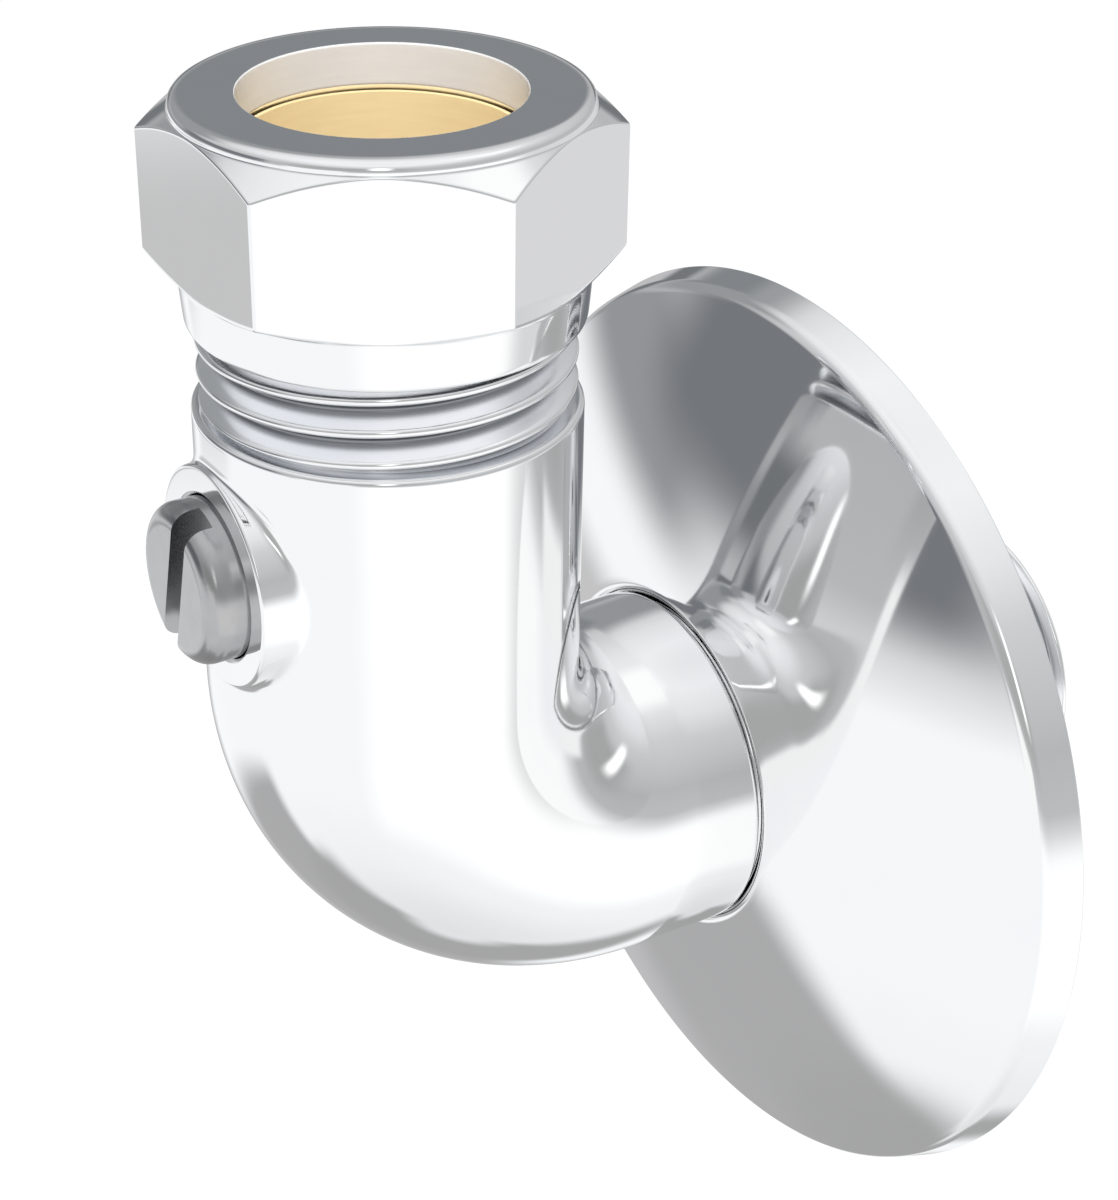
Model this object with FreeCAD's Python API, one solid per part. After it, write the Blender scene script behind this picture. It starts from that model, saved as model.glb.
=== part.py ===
import FreeCAD, Part
import math
import os

# An angled isolating valve for 15 mm pipe, chrome on brass, with a cover for the hole in the wall.
# The pipe comes down into a compression nut, the water turns through an elbow and leaves
# through a threaded spigot in the wall. A ball inside the upright leg shuts the water off
# when the slotted spindle on the front is given a quarter turn with a screwdriver.
# Millimetres, +Z up. The origin is where the spigot's axis meets the wall, and +Y points
# into the wall. The upright leg stands in front of the wall, and the spindle points along -Y.

Vector = FreeCAD.Vector
X_AXIS = Vector(1, 0, 0)
Y_AXIS = Vector(0, 1, 0)
Z_AXIS = Vector(0, 0, 1)

# Pipe and running clearances
PIPE_RADIUS = 7.5
PIPE_CLEARANCE = 0.10
THREAD_CLEARANCE = 0.05
TURN_CLEARANCE = 0.05
SEAT_GAP = 0.03
FLAT_GAP = 0.02

# Elbow
WALL_TO_INLET = 28.1
TUBE_RADIUS = 10.85
BEND_RADIUS = 13.3
INLET_SHOULDER_Z = 29.95
OUTLET_SHOULDER = 19.35
SHOULDER_EDGE = 0.35
WATERWAY_RADIUS = 5.0

# Pipe threads, plain here at their major diameter
THREAD_RADIUS = 10.4775
THREAD_ROOT_RADIUS = 9.3
THREAD_CHAMFER = 0.9
RELIEF_WIDTH = 1.0

# Inlet spigot and its mouth, a cone that takes the olive
INLET_MOUTH_Z = 39.6
MOUTH_RADIUS = 8.42
MOUTH_CONE_DEPTH = 1.5

# Outlet spigot
OUTLET_REACH = 16.8
OUTLET_THREAD_START = -3.0
OUTLET_BORE_RADIUS = 7.2
SHANK_END = -5.0
OUTLET_BORE_DEPTH = 27.0

# Ball and its chamber
BALL_Z = 21.5
BALL_RADIUS = 6.0
BALL_BORE_RADIUS = 4.0
CHAMBER_RADIUS = 8.0
CAGE_RADIUS = 7.3
SEAT_OFFSET = 3.4
SEAT_HEIGHT = 2.1
SEAT_BORE_RADIUS = 4.1
SEAT_REBATE = 1.1
SEAT_RING_SECTION = 0.53
RETAINER_HEIGHT = 2.4
RETAINER_BORE_RADIUS = 4.4
RETAINER_NOTCH_WIDTH = 1.6
RETAINER_NOTCH_DEPTH = 0.9

# Boss on the front of the upright leg
BOSS_RADIUS = 6.35
BOSS_REACH = 11.2
BOSS_EDGE = 0.25
BOSS_DRAFT_ANGLE = 4.0
BOSS_MOUTH_CHAMFER = 0.2

# Spindle, put in from inside the body, so its collar can't pass the boss
STEM_RADIUS = 4.62
STEM_REACH = 13.45
STEM_END_ROUND = 1.15
COLLAR_RADIUS = 5.15
COLLAR_THICKNESS = 0.75
SEAT_TO_COLLAR = 0.1
NECK_RADIUS = 3.2
NECK_TO_BALL = 0.15
SLOT_WIDTH = 1.7
SLOT_DEPTH = 1.6
TANG_THICKNESS = 1.9
TANG_WIDTH = 5.6
TANG_LENGTH = 1.4
TANG_CLEARANCE = 0.05
STEM_RING_SECTION = 0.6
STEM_GROOVE_WIDTH = 1.4
REST_TURN = 15.0

# Compression nut and olive
NUT_FLATS = 22.5
OLIVE_TO_NUT = 0.40
NUT_HEIGHT = 12.33
NUT_FACE_RADIUS = 11.2
NUT_FACE_EDGE = 0.55
NUT_FACE_EDGE_WIDTH = 0.95
NUT_FACE_HEIGHT = 0.75
NUT_TOP_CONE_HEIGHT = 1.3
NUT_SKIRT_HEIGHT = 2.75
NUT_LOW_CONE_HEIGHT = 0.8
NUT_SKIRT_DRAFT = 0.25
NUT_SKIRT_EDGE = 0.35
NUT_BORE_CLEARANCE = 0.15
NUT_BORE_DEPTH = 2.3
NUT_CAVITY_RADIUS = 9.3
NUT_CAVITY_DEPTH = 6.0
NUT_TURN = 1.2
OLIVE_LENGTH = 6.0
OLIVE_RADIUS = 8.8
OLIVE_END_RADIUS = 7.85
OLIVE_LOW_CONE = 1.74
OLIVE_TOP_CONE = 1.36
OLIVE_ENTRY = 0.94

# Wall flange, one domed sheet with a collar turned in along the spigot and a turned-back rim
FLANGE_RADIUS = 29.95
FLANGE_FRONT_RADIUS = 29.3
FLANGE_RIM_DEPTH = 2.6
FLANGE_SHEET = 0.55
FLANGE_RIM_EDGE = 0.5
FLANGE_HUB_TILT = 13.0
FLANGE_COLLAR_CLEARANCE = 0.07
FLANGE_COLLAR_LENGTH = 2.2
FLANGE_COLLAR_BEND = 0.7
FLANGE_REST_GAP = 0.05

INLET_Y = -WALL_TO_INLET
SHOULDER_Y = INLET_Y + OUTLET_SHOULDER
SOCKET_RADIUS = PIPE_RADIUS + PIPE_CLEARANCE
OLIVE_TOP_Z = INLET_MOUTH_Z - OLIVE_ENTRY + OLIVE_LENGTH
NUT_TOP_Z = OLIVE_TOP_Z + OLIVE_TO_NUT + NUT_BORE_DEPTH
LOW_SEAT_FACE_Z = BALL_Z - SEAT_OFFSET
LOW_SEAT_BACK_Z = LOW_SEAT_FACE_Z - SEAT_HEIGHT
TOP_SEAT_FACE_Z = BALL_Z + SEAT_OFFSET
TOP_SEAT_BACK_Z = TOP_SEAT_FACE_Z + SEAT_HEIGHT
PIPE_STOP_Z = TOP_SEAT_BACK_Z + RETAINER_HEIGHT
STEM_BORE_RADIUS = STEM_RADIUS + TURN_CLEARANCE
COLLAR_BACK = CAGE_RADIUS + SEAT_TO_COLLAR
COLLAR_FRONT = COLLAR_BACK + COLLAR_THICKNESS
NECK_END = BALL_RADIUS + NECK_TO_BALL
TANG_END = NECK_END - TANG_LENGTH
INSIDE = 1.0


def face_of(points):
    """A flat face bounded by straight lines through points, and arcs where an entry is a pair."""
    edges = []
    start = points[0]
    for entry in points[1:] + [points[0]]:
        if isinstance(entry, tuple):
            middle, end = entry
            edges.append(Part.Arc(start, middle, end).toShape())
        else:
            end = entry
            edges.append(Part.LineSegment(start, end).toShape())
        start = end
    return Part.Face(Part.Wire(edges))


def lathe(points, axis=Z_AXIS):
    """A solid turned about an axis through the local origin."""
    return face_of(points).revolve(Vector(0, 0, 0), axis, 360)


def rz(radius, height):
    """A profile point at a radius and a height, for turning about Z."""
    return Vector(radius, 0, height)


def tube(outer, inner, low, high):
    """A plain ring about Z."""
    ring = Part.makeCylinder(outer, high - low, Vector(0, 0, low))
    bore = Part.makeCylinder(inner, high - low + 2 * INSIDE, Vector(0, 0, low - INSIDE))
    return ring.cut(bore)


def on_inlet(shape):
    """Moves a shape made about Z onto the upright leg's axis."""
    moved = shape.copy()
    moved.translate(Vector(0, INLET_Y, 0))
    return moved


def on_outlet(shape):
    """Turns a shape made about Z so that its Z lies along +Y, on the outlet's axis."""
    turned = shape.copy()
    turned.rotate(Vector(0, 0, 0), X_AXIS, -90)
    return turned


def on_spindle(shape):
    """Turns a shape made about Z so that its Z points out of the front at the ball's height."""
    turned = shape.copy()
    turned.rotate(Vector(0, 0, 0), X_AXIS, 90)
    turned.translate(Vector(0, INLET_Y, BALL_Z))
    return turned


def at_rest_turn(shape):
    """Turns a piece of the spindle to where the slot stands at rest."""
    turned = shape.copy()
    turned.rotate(Vector(0, INLET_Y, BALL_Z), Y_AXIS, REST_TURN)
    return turned


def elbow_sweep(radius, top, end):
    """A round bar down the upright leg, round the bend and along to end, from the inlet's axis."""
    upright = Part.makeCylinder(radius, top - BEND_RADIUS, Vector(0, INLET_Y, BEND_RADIUS))
    circle = Part.Circle(Vector(0, INLET_Y, BEND_RADIUS), Z_AXIS, radius).toShape()
    disc = Part.Face(Part.Wire([circle]))
    bend = disc.revolve(Vector(0, INLET_Y + BEND_RADIUS, BEND_RADIUS), X_AXIS, 90)
    level = Part.makeCylinder(radius, end - BEND_RADIUS, Vector(0, INLET_Y + BEND_RADIUS, 0), Y_AXIS)
    return upright.fuse([bend, level])


def inlet_outside():
    """The threaded upper end, from below the shoulder to the mouth."""
    thread_top = INLET_MOUTH_Z - THREAD_CHAMFER
    relief_top = INLET_SHOULDER_Z + RELIEF_WIDTH
    return on_inlet(lathe([
        rz(0, INLET_SHOULDER_Z - INSIDE),
        rz(TUBE_RADIUS, INLET_SHOULDER_Z - INSIDE),
        rz(TUBE_RADIUS, INLET_SHOULDER_Z - SHOULDER_EDGE),
        rz(TUBE_RADIUS - SHOULDER_EDGE, INLET_SHOULDER_Z),
        rz(THREAD_ROOT_RADIUS, INLET_SHOULDER_Z),
        rz(THREAD_ROOT_RADIUS, relief_top - (THREAD_RADIUS - THREAD_ROOT_RADIUS) / 2),
        rz(THREAD_RADIUS, relief_top),
        rz(THREAD_RADIUS, thread_top),
        rz(THREAD_RADIUS - THREAD_CHAMFER, INLET_MOUTH_Z),
        rz(0, INLET_MOUTH_Z),
    ]))


def outlet_outside():
    """The spigot that goes through the wall flange and screws into the wall."""
    relief_slope = (THREAD_RADIUS - THREAD_ROOT_RADIUS) / 2
    return on_outlet(lathe([
        rz(0, SHOULDER_Y - INSIDE),
        rz(TUBE_RADIUS, SHOULDER_Y - INSIDE),
        rz(TUBE_RADIUS, SHOULDER_Y - SHOULDER_EDGE),
        rz(TUBE_RADIUS - SHOULDER_EDGE, SHOULDER_Y),
        rz(THREAD_RADIUS, SHOULDER_Y),
        rz(THREAD_RADIUS, SHANK_END),
        rz(THREAD_ROOT_RADIUS, SHANK_END + relief_slope),
        rz(THREAD_ROOT_RADIUS, OUTLET_THREAD_START - relief_slope),
        rz(THREAD_RADIUS, OUTLET_THREAD_START),
        rz(THREAD_RADIUS, OUTLET_REACH - THREAD_CHAMFER),
        rz(THREAD_RADIUS - THREAD_CHAMFER, OUTLET_REACH),
        rz(0, OUTLET_REACH),
    ]))


def boss_outside():
    """The round boss on the front, with the forging's draft, from the leg's axis out to its flat face."""
    foot_radius = BOSS_RADIUS + BOSS_REACH * math.tan(math.radians(BOSS_DRAFT_ANGLE))
    edge_radius = BOSS_RADIUS + BOSS_EDGE * math.tan(math.radians(BOSS_DRAFT_ANGLE))
    return on_spindle(lathe([
        rz(0, 0),
        rz(foot_radius, 0),
        rz(edge_radius, BOSS_REACH - BOSS_EDGE),
        rz(BOSS_RADIUS - BOSS_EDGE, BOSS_REACH),
        rz(0, BOSS_REACH),
    ]))


def inlet_hollow():
    """The mouth, pipe socket, tapped length, ball chamber and the pocket of the lower seat."""
    return on_inlet(lathe([
        rz(0, LOW_SEAT_BACK_Z),
        rz(CAGE_RADIUS, LOW_SEAT_BACK_Z),
        rz(CAGE_RADIUS, LOW_SEAT_FACE_Z),
        rz(CHAMBER_RADIUS, LOW_SEAT_FACE_Z),
        rz(CHAMBER_RADIUS, TOP_SEAT_FACE_Z),
        rz(CAGE_RADIUS, TOP_SEAT_FACE_Z),
        rz(CAGE_RADIUS, PIPE_STOP_Z),
        rz(SOCKET_RADIUS, PIPE_STOP_Z),
        rz(SOCKET_RADIUS, INLET_MOUTH_Z - MOUTH_CONE_DEPTH),
        rz(MOUTH_RADIUS, INLET_MOUTH_Z),
        rz(MOUTH_RADIUS, INLET_MOUTH_Z + INSIDE),
        rz(0, INLET_MOUTH_Z + INSIDE),
    ]))


def stem_hollow():
    """The spindle's bore through the boss, its chamfered mouth and the collar's pocket inside."""
    pocket_radius = COLLAR_RADIUS + TURN_CLEARANCE
    pocket_end = COLLAR_FRONT + FLAT_GAP
    mouth_radius = STEM_BORE_RADIUS + BOSS_MOUTH_CHAMFER
    return on_spindle(lathe([
        rz(0, SEAT_OFFSET),
        rz(pocket_radius, SEAT_OFFSET),
        rz(pocket_radius, pocket_end),
        rz(STEM_BORE_RADIUS, pocket_end),
        rz(STEM_BORE_RADIUS, BOSS_REACH - BOSS_MOUTH_CHAMFER),
        rz(mouth_radius, BOSS_REACH),
        rz(mouth_radius, BOSS_REACH + INSIDE),
        rz(0, BOSS_REACH + INSIDE),
    ]))


def make_valve_body():
    """The one-piece forged body: elbow, inlet spigot, front boss and outlet spigot."""
    outside = elbow_sweep(TUBE_RADIUS, INLET_SHOULDER_Z - INSIDE, OUTLET_SHOULDER - INSIDE)
    outside = outside.fuse([inlet_outside(), outlet_outside(), boss_outside()])
    waterway = elbow_sweep(WATERWAY_RADIUS, LOW_SEAT_BACK_Z + INSIDE, OUTLET_SHOULDER)
    outlet_bore = Part.makeCylinder(OUTLET_BORE_RADIUS, OUTLET_BORE_DEPTH + INSIDE,
                                    Vector(0, OUTLET_REACH - OUTLET_BORE_DEPTH, 0), Y_AXIS)
    hollow = [inlet_hollow(), stem_hollow(), waterway, outlet_bore]
    return outside.cut(hollow).removeSplitter()


def make_compression_nut():
    """The hexagon nut: round top face, chamfered corners, a skirt below, and the inner cone."""
    low = NUT_TOP_Z - NUT_HEIGHT
    corner_radius = NUT_FLATS / 2 / math.cos(math.radians(30))
    top_cone = NUT_TOP_Z - NUT_FACE_HEIGHT
    skirt_top = low + NUT_SKIRT_HEIGHT
    edge_radius = (NUT_FACE_EDGE_WIDTH ** 2 + NUT_FACE_EDGE ** 2) / (2 * NUT_FACE_EDGE)
    edge_turn = math.asin(NUT_FACE_EDGE_WIDTH / edge_radius) / 2
    edge_start = NUT_FACE_RADIUS - NUT_FACE_EDGE_WIDTH
    edge_middle = rz(edge_start + edge_radius * math.sin(edge_turn),
                     NUT_TOP_Z - edge_radius * (1 - math.cos(edge_turn)))
    envelope = lathe([
        rz(0, low),
        rz(NUT_FACE_RADIUS - NUT_SKIRT_DRAFT - NUT_SKIRT_EDGE, low),
        rz(NUT_FACE_RADIUS - NUT_SKIRT_DRAFT, low + NUT_SKIRT_EDGE),
        rz(NUT_FACE_RADIUS, skirt_top),
        rz(corner_radius, skirt_top + NUT_LOW_CONE_HEIGHT),
        rz(corner_radius, top_cone - NUT_TOP_CONE_HEIGHT),
        rz(NUT_FACE_RADIUS, top_cone),
        rz(NUT_FACE_RADIUS, NUT_TOP_Z - NUT_FACE_EDGE),
        (edge_middle, rz(edge_start, NUT_TOP_Z)),
        rz(0, NUT_TOP_Z),
    ])
    corners = []
    for index in range(7):
        angle = math.radians(60 * index + NUT_TURN)
        corners.append(Vector(corner_radius * math.cos(angle), corner_radius * math.sin(angle), low))
    hexagon = Part.Face(Part.makePolygon(corners)).extrude(Vector(0, 0, NUT_HEIGHT))
    bore_radius = PIPE_RADIUS + NUT_BORE_CLEARANCE
    cone_top = NUT_TOP_Z - NUT_BORE_DEPTH
    cone_slope = OLIVE_TOP_CONE / (OLIVE_RADIUS - OLIVE_END_RADIUS)
    cone_low = cone_top - (NUT_CAVITY_RADIUS - bore_radius) * cone_slope
    thread_radius = THREAD_RADIUS + THREAD_CLEARANCE
    thread_top = NUT_TOP_Z - NUT_CAVITY_DEPTH
    hollow = lathe([
        rz(0, low - INSIDE),
        rz(thread_radius + SHOULDER_EDGE, low - INSIDE),
        rz(thread_radius + SHOULDER_EDGE / 2, low),
        rz(thread_radius, low + SHOULDER_EDGE),
        rz(thread_radius, thread_top),
        rz(NUT_CAVITY_RADIUS, thread_top + (thread_radius - NUT_CAVITY_RADIUS)),
        rz(NUT_CAVITY_RADIUS, cone_low),
        rz(bore_radius, cone_top),
        rz(bore_radius, NUT_TOP_Z + INSIDE),
        rz(0, NUT_TOP_Z + INSIDE),
    ])
    return on_inlet(hexagon.common(envelope).cut(hollow))


def make_olive():
    """The brass ring that the nut squeezes onto the pipe, with a cone at each end."""
    low = OLIVE_TOP_Z - OLIVE_LENGTH
    return on_inlet(lathe([
        rz(SOCKET_RADIUS, low),
        rz(OLIVE_END_RADIUS, low),
        rz(OLIVE_RADIUS, low + OLIVE_LOW_CONE),
        rz(OLIVE_RADIUS, OLIVE_TOP_Z - OLIVE_TOP_CONE),
        rz(OLIVE_END_RADIUS, OLIVE_TOP_Z),
        rz(SOCKET_RADIUS, OLIVE_TOP_Z),
    ]))


def flange_dome():
    """The dome's front arc as start, middle and end, each with its tilt from the wall in radians."""
    hub_tilt = math.radians(FLANGE_HUB_TILT)
    collar_inner = THREAD_RADIUS + FLANGE_COLLAR_CLEARANCE
    hub_r = collar_inner + FLANGE_COLLAR_BEND * (1 + math.sin(hub_tilt))
    hub_y = SHOULDER_Y + FLANGE_REST_GAP + FLANGE_COLLAR_BEND * (1 - math.cos(hub_tilt))
    run = FLANGE_FRONT_RADIUS - FLANGE_RIM_EDGE - hub_r
    rise = -FLANGE_RIM_DEPTH - hub_y
    middle_tilt = math.atan2(rise, run)
    rim_tilt = 2 * middle_tilt - hub_tilt
    radius = run / (math.sin(rim_tilt) - math.sin(hub_tilt))
    places = []
    for tilt in (hub_tilt, middle_tilt, rim_tilt):
        r = hub_r + radius * (math.sin(tilt) - math.sin(hub_tilt))
        y = hub_y + radius * (math.cos(hub_tilt) - math.cos(tilt))
        places.append((r, y, tilt))
    return places


def behind(place):
    """The point on the sheet's rear face behind a place on its front."""
    r, y, tilt = place
    return rz(r - FLANGE_SHEET * math.sin(tilt), y + FLANGE_SHEET * math.cos(tilt))


def rim_round(corner, before, after):
    """The middle of the arc that touches both sides of a corner, at points equally far from it."""
    to_before, to_after = before - corner, after - corner
    half = to_before.getAngle(to_after) / 2
    inward = (to_before + to_after).normalize()
    return corner + inward * (to_before.Length * (1 - math.sin(half)) / math.cos(half))


def make_wall_flange():
    """The domed cover: a collar turned in along the spigot, the dome, and a rim turned back."""
    collar_inner = THREAD_RADIUS + FLANGE_COLLAR_CLEARANCE
    bend_r = collar_inner + FLANGE_COLLAR_BEND
    bend_y = SHOULDER_Y + FLANGE_REST_GAP + FLANGE_COLLAR_BEND
    collar_end = bend_y + FLANGE_COLLAR_LENGTH
    hub, middle, edge = flange_dome()
    half = (math.pi / 2 + hub[2]) / 2
    bend = Vector(-math.cos(half), 0, -math.sin(half))
    bend_centre = rz(bend_r, bend_y)
    inner_bend = FLANGE_COLLAR_BEND - FLANGE_SHEET
    corner = rz(FLANGE_FRONT_RADIUS, edge[1] + FLANGE_RIM_EDGE * math.tan(edge[2]))
    rim_end = rz(FLANGE_RADIUS, 0)
    edge_front = rz(edge[0], edge[1])
    down_rim = (rim_end - corner).normalize()
    rim_start = corner + down_rim * (edge_front - corner).Length
    lean = down_rim.x / down_rim.z
    edge_rear = behind(edge)
    climb = math.tan(edge[2])
    rim_inner = FLANGE_RADIUS - FLANGE_SHEET
    corner_r = (rim_inner + lean * (edge_rear.z - edge_rear.x * climb)) / (1 - lean * climb)
    return on_outlet(lathe([
        rz(collar_inner, collar_end),
        rz(collar_inner, bend_y),
        (bend_centre + bend * FLANGE_COLLAR_BEND, rz(hub[0], hub[1])),
        (rz(middle[0], middle[1]), edge_front),
        (rim_round(corner, edge_front, rim_start), rim_start),
        rim_end,
        rz(rim_inner, 0),
        rz(corner_r, edge_rear.z + (corner_r - edge_rear.x) * climb),
        edge_rear,
        (behind(middle), behind(hub)),
        (bend_centre + bend * inner_bend, rz(collar_inner + FLANGE_SHEET, bend_y)),
        rz(collar_inner + FLANGE_SHEET, collar_end),
    ]))


def stem_ring_centre():
    """How far out from the inlet's axis the stem's ring lies: midway along its bore."""
    return (COLLAR_FRONT + BOSS_REACH - BOSS_MOUTH_CHAMFER) / 2


def make_spindle():
    """The slotted stem with its ring groove, inner collar, neck and the tang that turns the ball."""
    round_start = STEM_REACH - STEM_END_ROUND
    round_radius = STEM_RADIUS - STEM_END_ROUND
    middle = STEM_END_ROUND * math.sin(math.radians(45))
    stem = lathe([
        rz(0, NECK_END),
        rz(NECK_RADIUS, NECK_END),
        rz(NECK_RADIUS, COLLAR_BACK),
        rz(COLLAR_RADIUS, COLLAR_BACK),
        rz(COLLAR_RADIUS, COLLAR_FRONT),
        rz(STEM_RADIUS, COLLAR_FRONT),
        rz(STEM_RADIUS, round_start),
        (rz(round_radius + middle, round_start + middle), rz(round_radius, STEM_REACH)),
        rz(0, STEM_REACH),
    ])
    tang = Part.makeBox(TANG_WIDTH, TANG_THICKNESS, TANG_LENGTH + INSIDE,
                        Vector(-TANG_WIDTH / 2, -TANG_THICKNESS / 2, TANG_END))
    slot = Part.makeBox(SLOT_WIDTH, 4 * STEM_RADIUS, SLOT_DEPTH + INSIDE,
                        Vector(-SLOT_WIDTH / 2, -2 * STEM_RADIUS, STEM_REACH - SLOT_DEPTH))
    groove_low = stem_ring_centre() - STEM_GROOVE_WIDTH / 2
    groove = tube(STEM_RADIUS + INSIDE, ring_groove_radius(), groove_low, groove_low + STEM_GROOVE_WIDTH)
    return at_rest_turn(on_spindle(stem.fuse(tang).cut([slot, groove])))


def ring_groove_radius():
    """The floor of the stem's ring groove."""
    return STEM_BORE_RADIUS - 2 * STEM_RING_SECTION - SEAT_GAP


def make_spindle_o_ring():
    """The rubber ring that seals the stem in the boss."""
    major = (ring_groove_radius() + STEM_BORE_RADIUS) / 2
    ring = Part.makeTorus(major, STEM_RING_SECTION, Vector(0, 0, stem_ring_centre()))
    return at_rest_turn(on_spindle(ring))


def make_ball():
    """The bored ball, with a slot across it for the spindle's tang."""
    ball = Part.makeSphere(BALL_RADIUS, Vector(0, INLET_Y, BALL_Z))
    bore_start = Vector(0, INLET_Y, BALL_Z - 2 * BALL_RADIUS)
    bore = Part.makeCylinder(BALL_BORE_RADIUS, 4 * BALL_RADIUS, bore_start)
    slot_thickness = TANG_THICKNESS + 2 * TANG_CLEARANCE
    slot_floor = TANG_END - 2 * TANG_CLEARANCE
    slot = Part.makeBox(4 * BALL_RADIUS, slot_thickness, BALL_RADIUS,
                        Vector(-2 * BALL_RADIUS, -slot_thickness / 2, slot_floor))
    return at_rest_turn(ball.cut([bore, on_spindle(slot)]))


def seat_profile():
    """A seat with its back at zero height: bore, back with a rebate for its ring, outer wall."""
    outer = CAGE_RADIUS - SEAT_GAP
    rebate_radius = CAGE_RADIUS - SEAT_REBATE
    return [
        rz(SEAT_BORE_RADIUS, 0),
        rz(rebate_radius, 0),
        rz(rebate_radius, SEAT_REBATE),
        rz(outer, SEAT_REBATE),
        rz(outer, SEAT_HEIGHT - FLAT_GAP),
        rz(SEAT_BORE_RADIUS, SEAT_HEIGHT - FLAT_GAP),
    ]


def make_seat(back, direction):
    """A white seat ring hollowed to the ball, with its back at a height and facing up or down."""
    ring = lathe(seat_profile())
    if direction < 0:
        ring.rotate(Vector(0, 0, 0), X_AXIS, 180)
    ring = on_inlet(ring)
    ring.translate(Vector(0, 0, back + direction * FLAT_GAP))
    return ring.cut(Part.makeSphere(BALL_RADIUS + SEAT_GAP, Vector(0, INLET_Y, BALL_Z)))


def make_seat_o_ring(back, direction):
    """The rubber ring in a seat's rebate, which presses the seat against the ball."""
    height = back + direction * (SEAT_REBATE / 2)
    major = CAGE_RADIUS - SEAT_REBATE / 2
    return on_inlet(Part.makeTorus(major, SEAT_RING_SECTION - FLAT_GAP, Vector(0, 0, height)))


def make_seat_retainer():
    """The ring screwed down on the upper seat, with two notches for its key. The pipe stops on it."""
    ring = tube(CAGE_RADIUS - THREAD_CLEARANCE, RETAINER_BORE_RADIUS,
                TOP_SEAT_BACK_Z + FLAT_GAP, PIPE_STOP_Z)
    notch = Part.makeBox(4 * CAGE_RADIUS, RETAINER_NOTCH_WIDTH, RETAINER_NOTCH_DEPTH + INSIDE,
                         Vector(-2 * CAGE_RADIUS, -RETAINER_NOTCH_WIDTH / 2,
                                PIPE_STOP_Z - RETAINER_NOTCH_DEPTH))
    return on_inlet(ring.cut(notch))


def make_all():
    """Every piece by its name."""
    return {
        "valve_body": make_valve_body(),
        "compression_nut": make_compression_nut(),
        "olive": make_olive(),
        "wall_flange": make_wall_flange(),
        "spindle": make_spindle(),
        "spindle_o_ring": make_spindle_o_ring(),
        "ball": make_ball(),
        "inlet_seat": make_seat(TOP_SEAT_BACK_Z, -1),
        "outlet_seat": make_seat(LOW_SEAT_BACK_Z, 1),
        "inlet_seat_o_ring": make_seat_o_ring(TOP_SEAT_BACK_Z, -1),
        "outlet_seat_o_ring": make_seat_o_ring(LOW_SEAT_BACK_Z, 1),
        "seat_retainer": make_seat_retainer(),
    }


os.makedirs("parts", exist_ok=True)
for name, shape in make_all().items():
    box = shape.BoundBox
    print(name, "solids", len(shape.Solids), "valid", shape.isValid(), "volume", round(shape.Volume, 1),
          "z", round(box.ZMin, 2), round(box.ZMax, 2), "y", round(box.YMin, 2), round(box.YMax, 2))
    shape.exportStep("parts/" + name + ".step")
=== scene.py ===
# %% [markdown]
# An angled isolating valve in polished chrome. A compression nut on top takes the pipe, a swept
# elbow turns the water towards the wall, a slotted spindle on the front turns the ball inside,
# and a dished flange covers the hole in the wall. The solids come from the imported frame, which
# fixes every size, and this file dresses them. Chrome shows nothing but its surroundings, so the
# lesson has two halves: surfaces smooth enough to mirror, and a studio worth mirroring.

# %% Load the frame
import math
import bpy
import numpy as np
from mathutils import Matrix, Vector


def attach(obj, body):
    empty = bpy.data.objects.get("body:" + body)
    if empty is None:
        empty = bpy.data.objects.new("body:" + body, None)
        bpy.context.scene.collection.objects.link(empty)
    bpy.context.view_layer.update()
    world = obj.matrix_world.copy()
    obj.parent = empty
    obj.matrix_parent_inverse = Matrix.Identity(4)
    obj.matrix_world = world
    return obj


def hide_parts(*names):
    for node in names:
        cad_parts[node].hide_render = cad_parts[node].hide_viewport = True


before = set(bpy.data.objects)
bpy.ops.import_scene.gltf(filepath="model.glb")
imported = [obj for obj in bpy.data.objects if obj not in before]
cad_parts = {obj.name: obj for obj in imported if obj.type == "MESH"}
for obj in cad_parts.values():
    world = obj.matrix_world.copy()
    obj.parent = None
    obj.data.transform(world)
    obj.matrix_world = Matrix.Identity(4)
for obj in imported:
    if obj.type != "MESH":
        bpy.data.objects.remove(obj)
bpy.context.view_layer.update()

MM = 0.001

# %% [markdown]
# Every new surface is a grid of points in millimetres. A mirror finish shows the direction of
# each face, so edges are never left sharp: a corner becomes a short curve, with a guard row close
# on each side of it, so that the smooth shading of the curve doesn't leak into the flat beside it.

# %% Corner rounding for profiles
GUARD = 0.04
GUARD_SHARE = 0.04
LEG_SHARE = 0.9


def quadratic(start, handle, end, t):
    """The curve (1-t)^2 start + 2t(1-t) handle + t^2 end."""
    return (1 - t) ** 2 * start + 2 * t * (1 - t) * handle + t ** 2 * end


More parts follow.
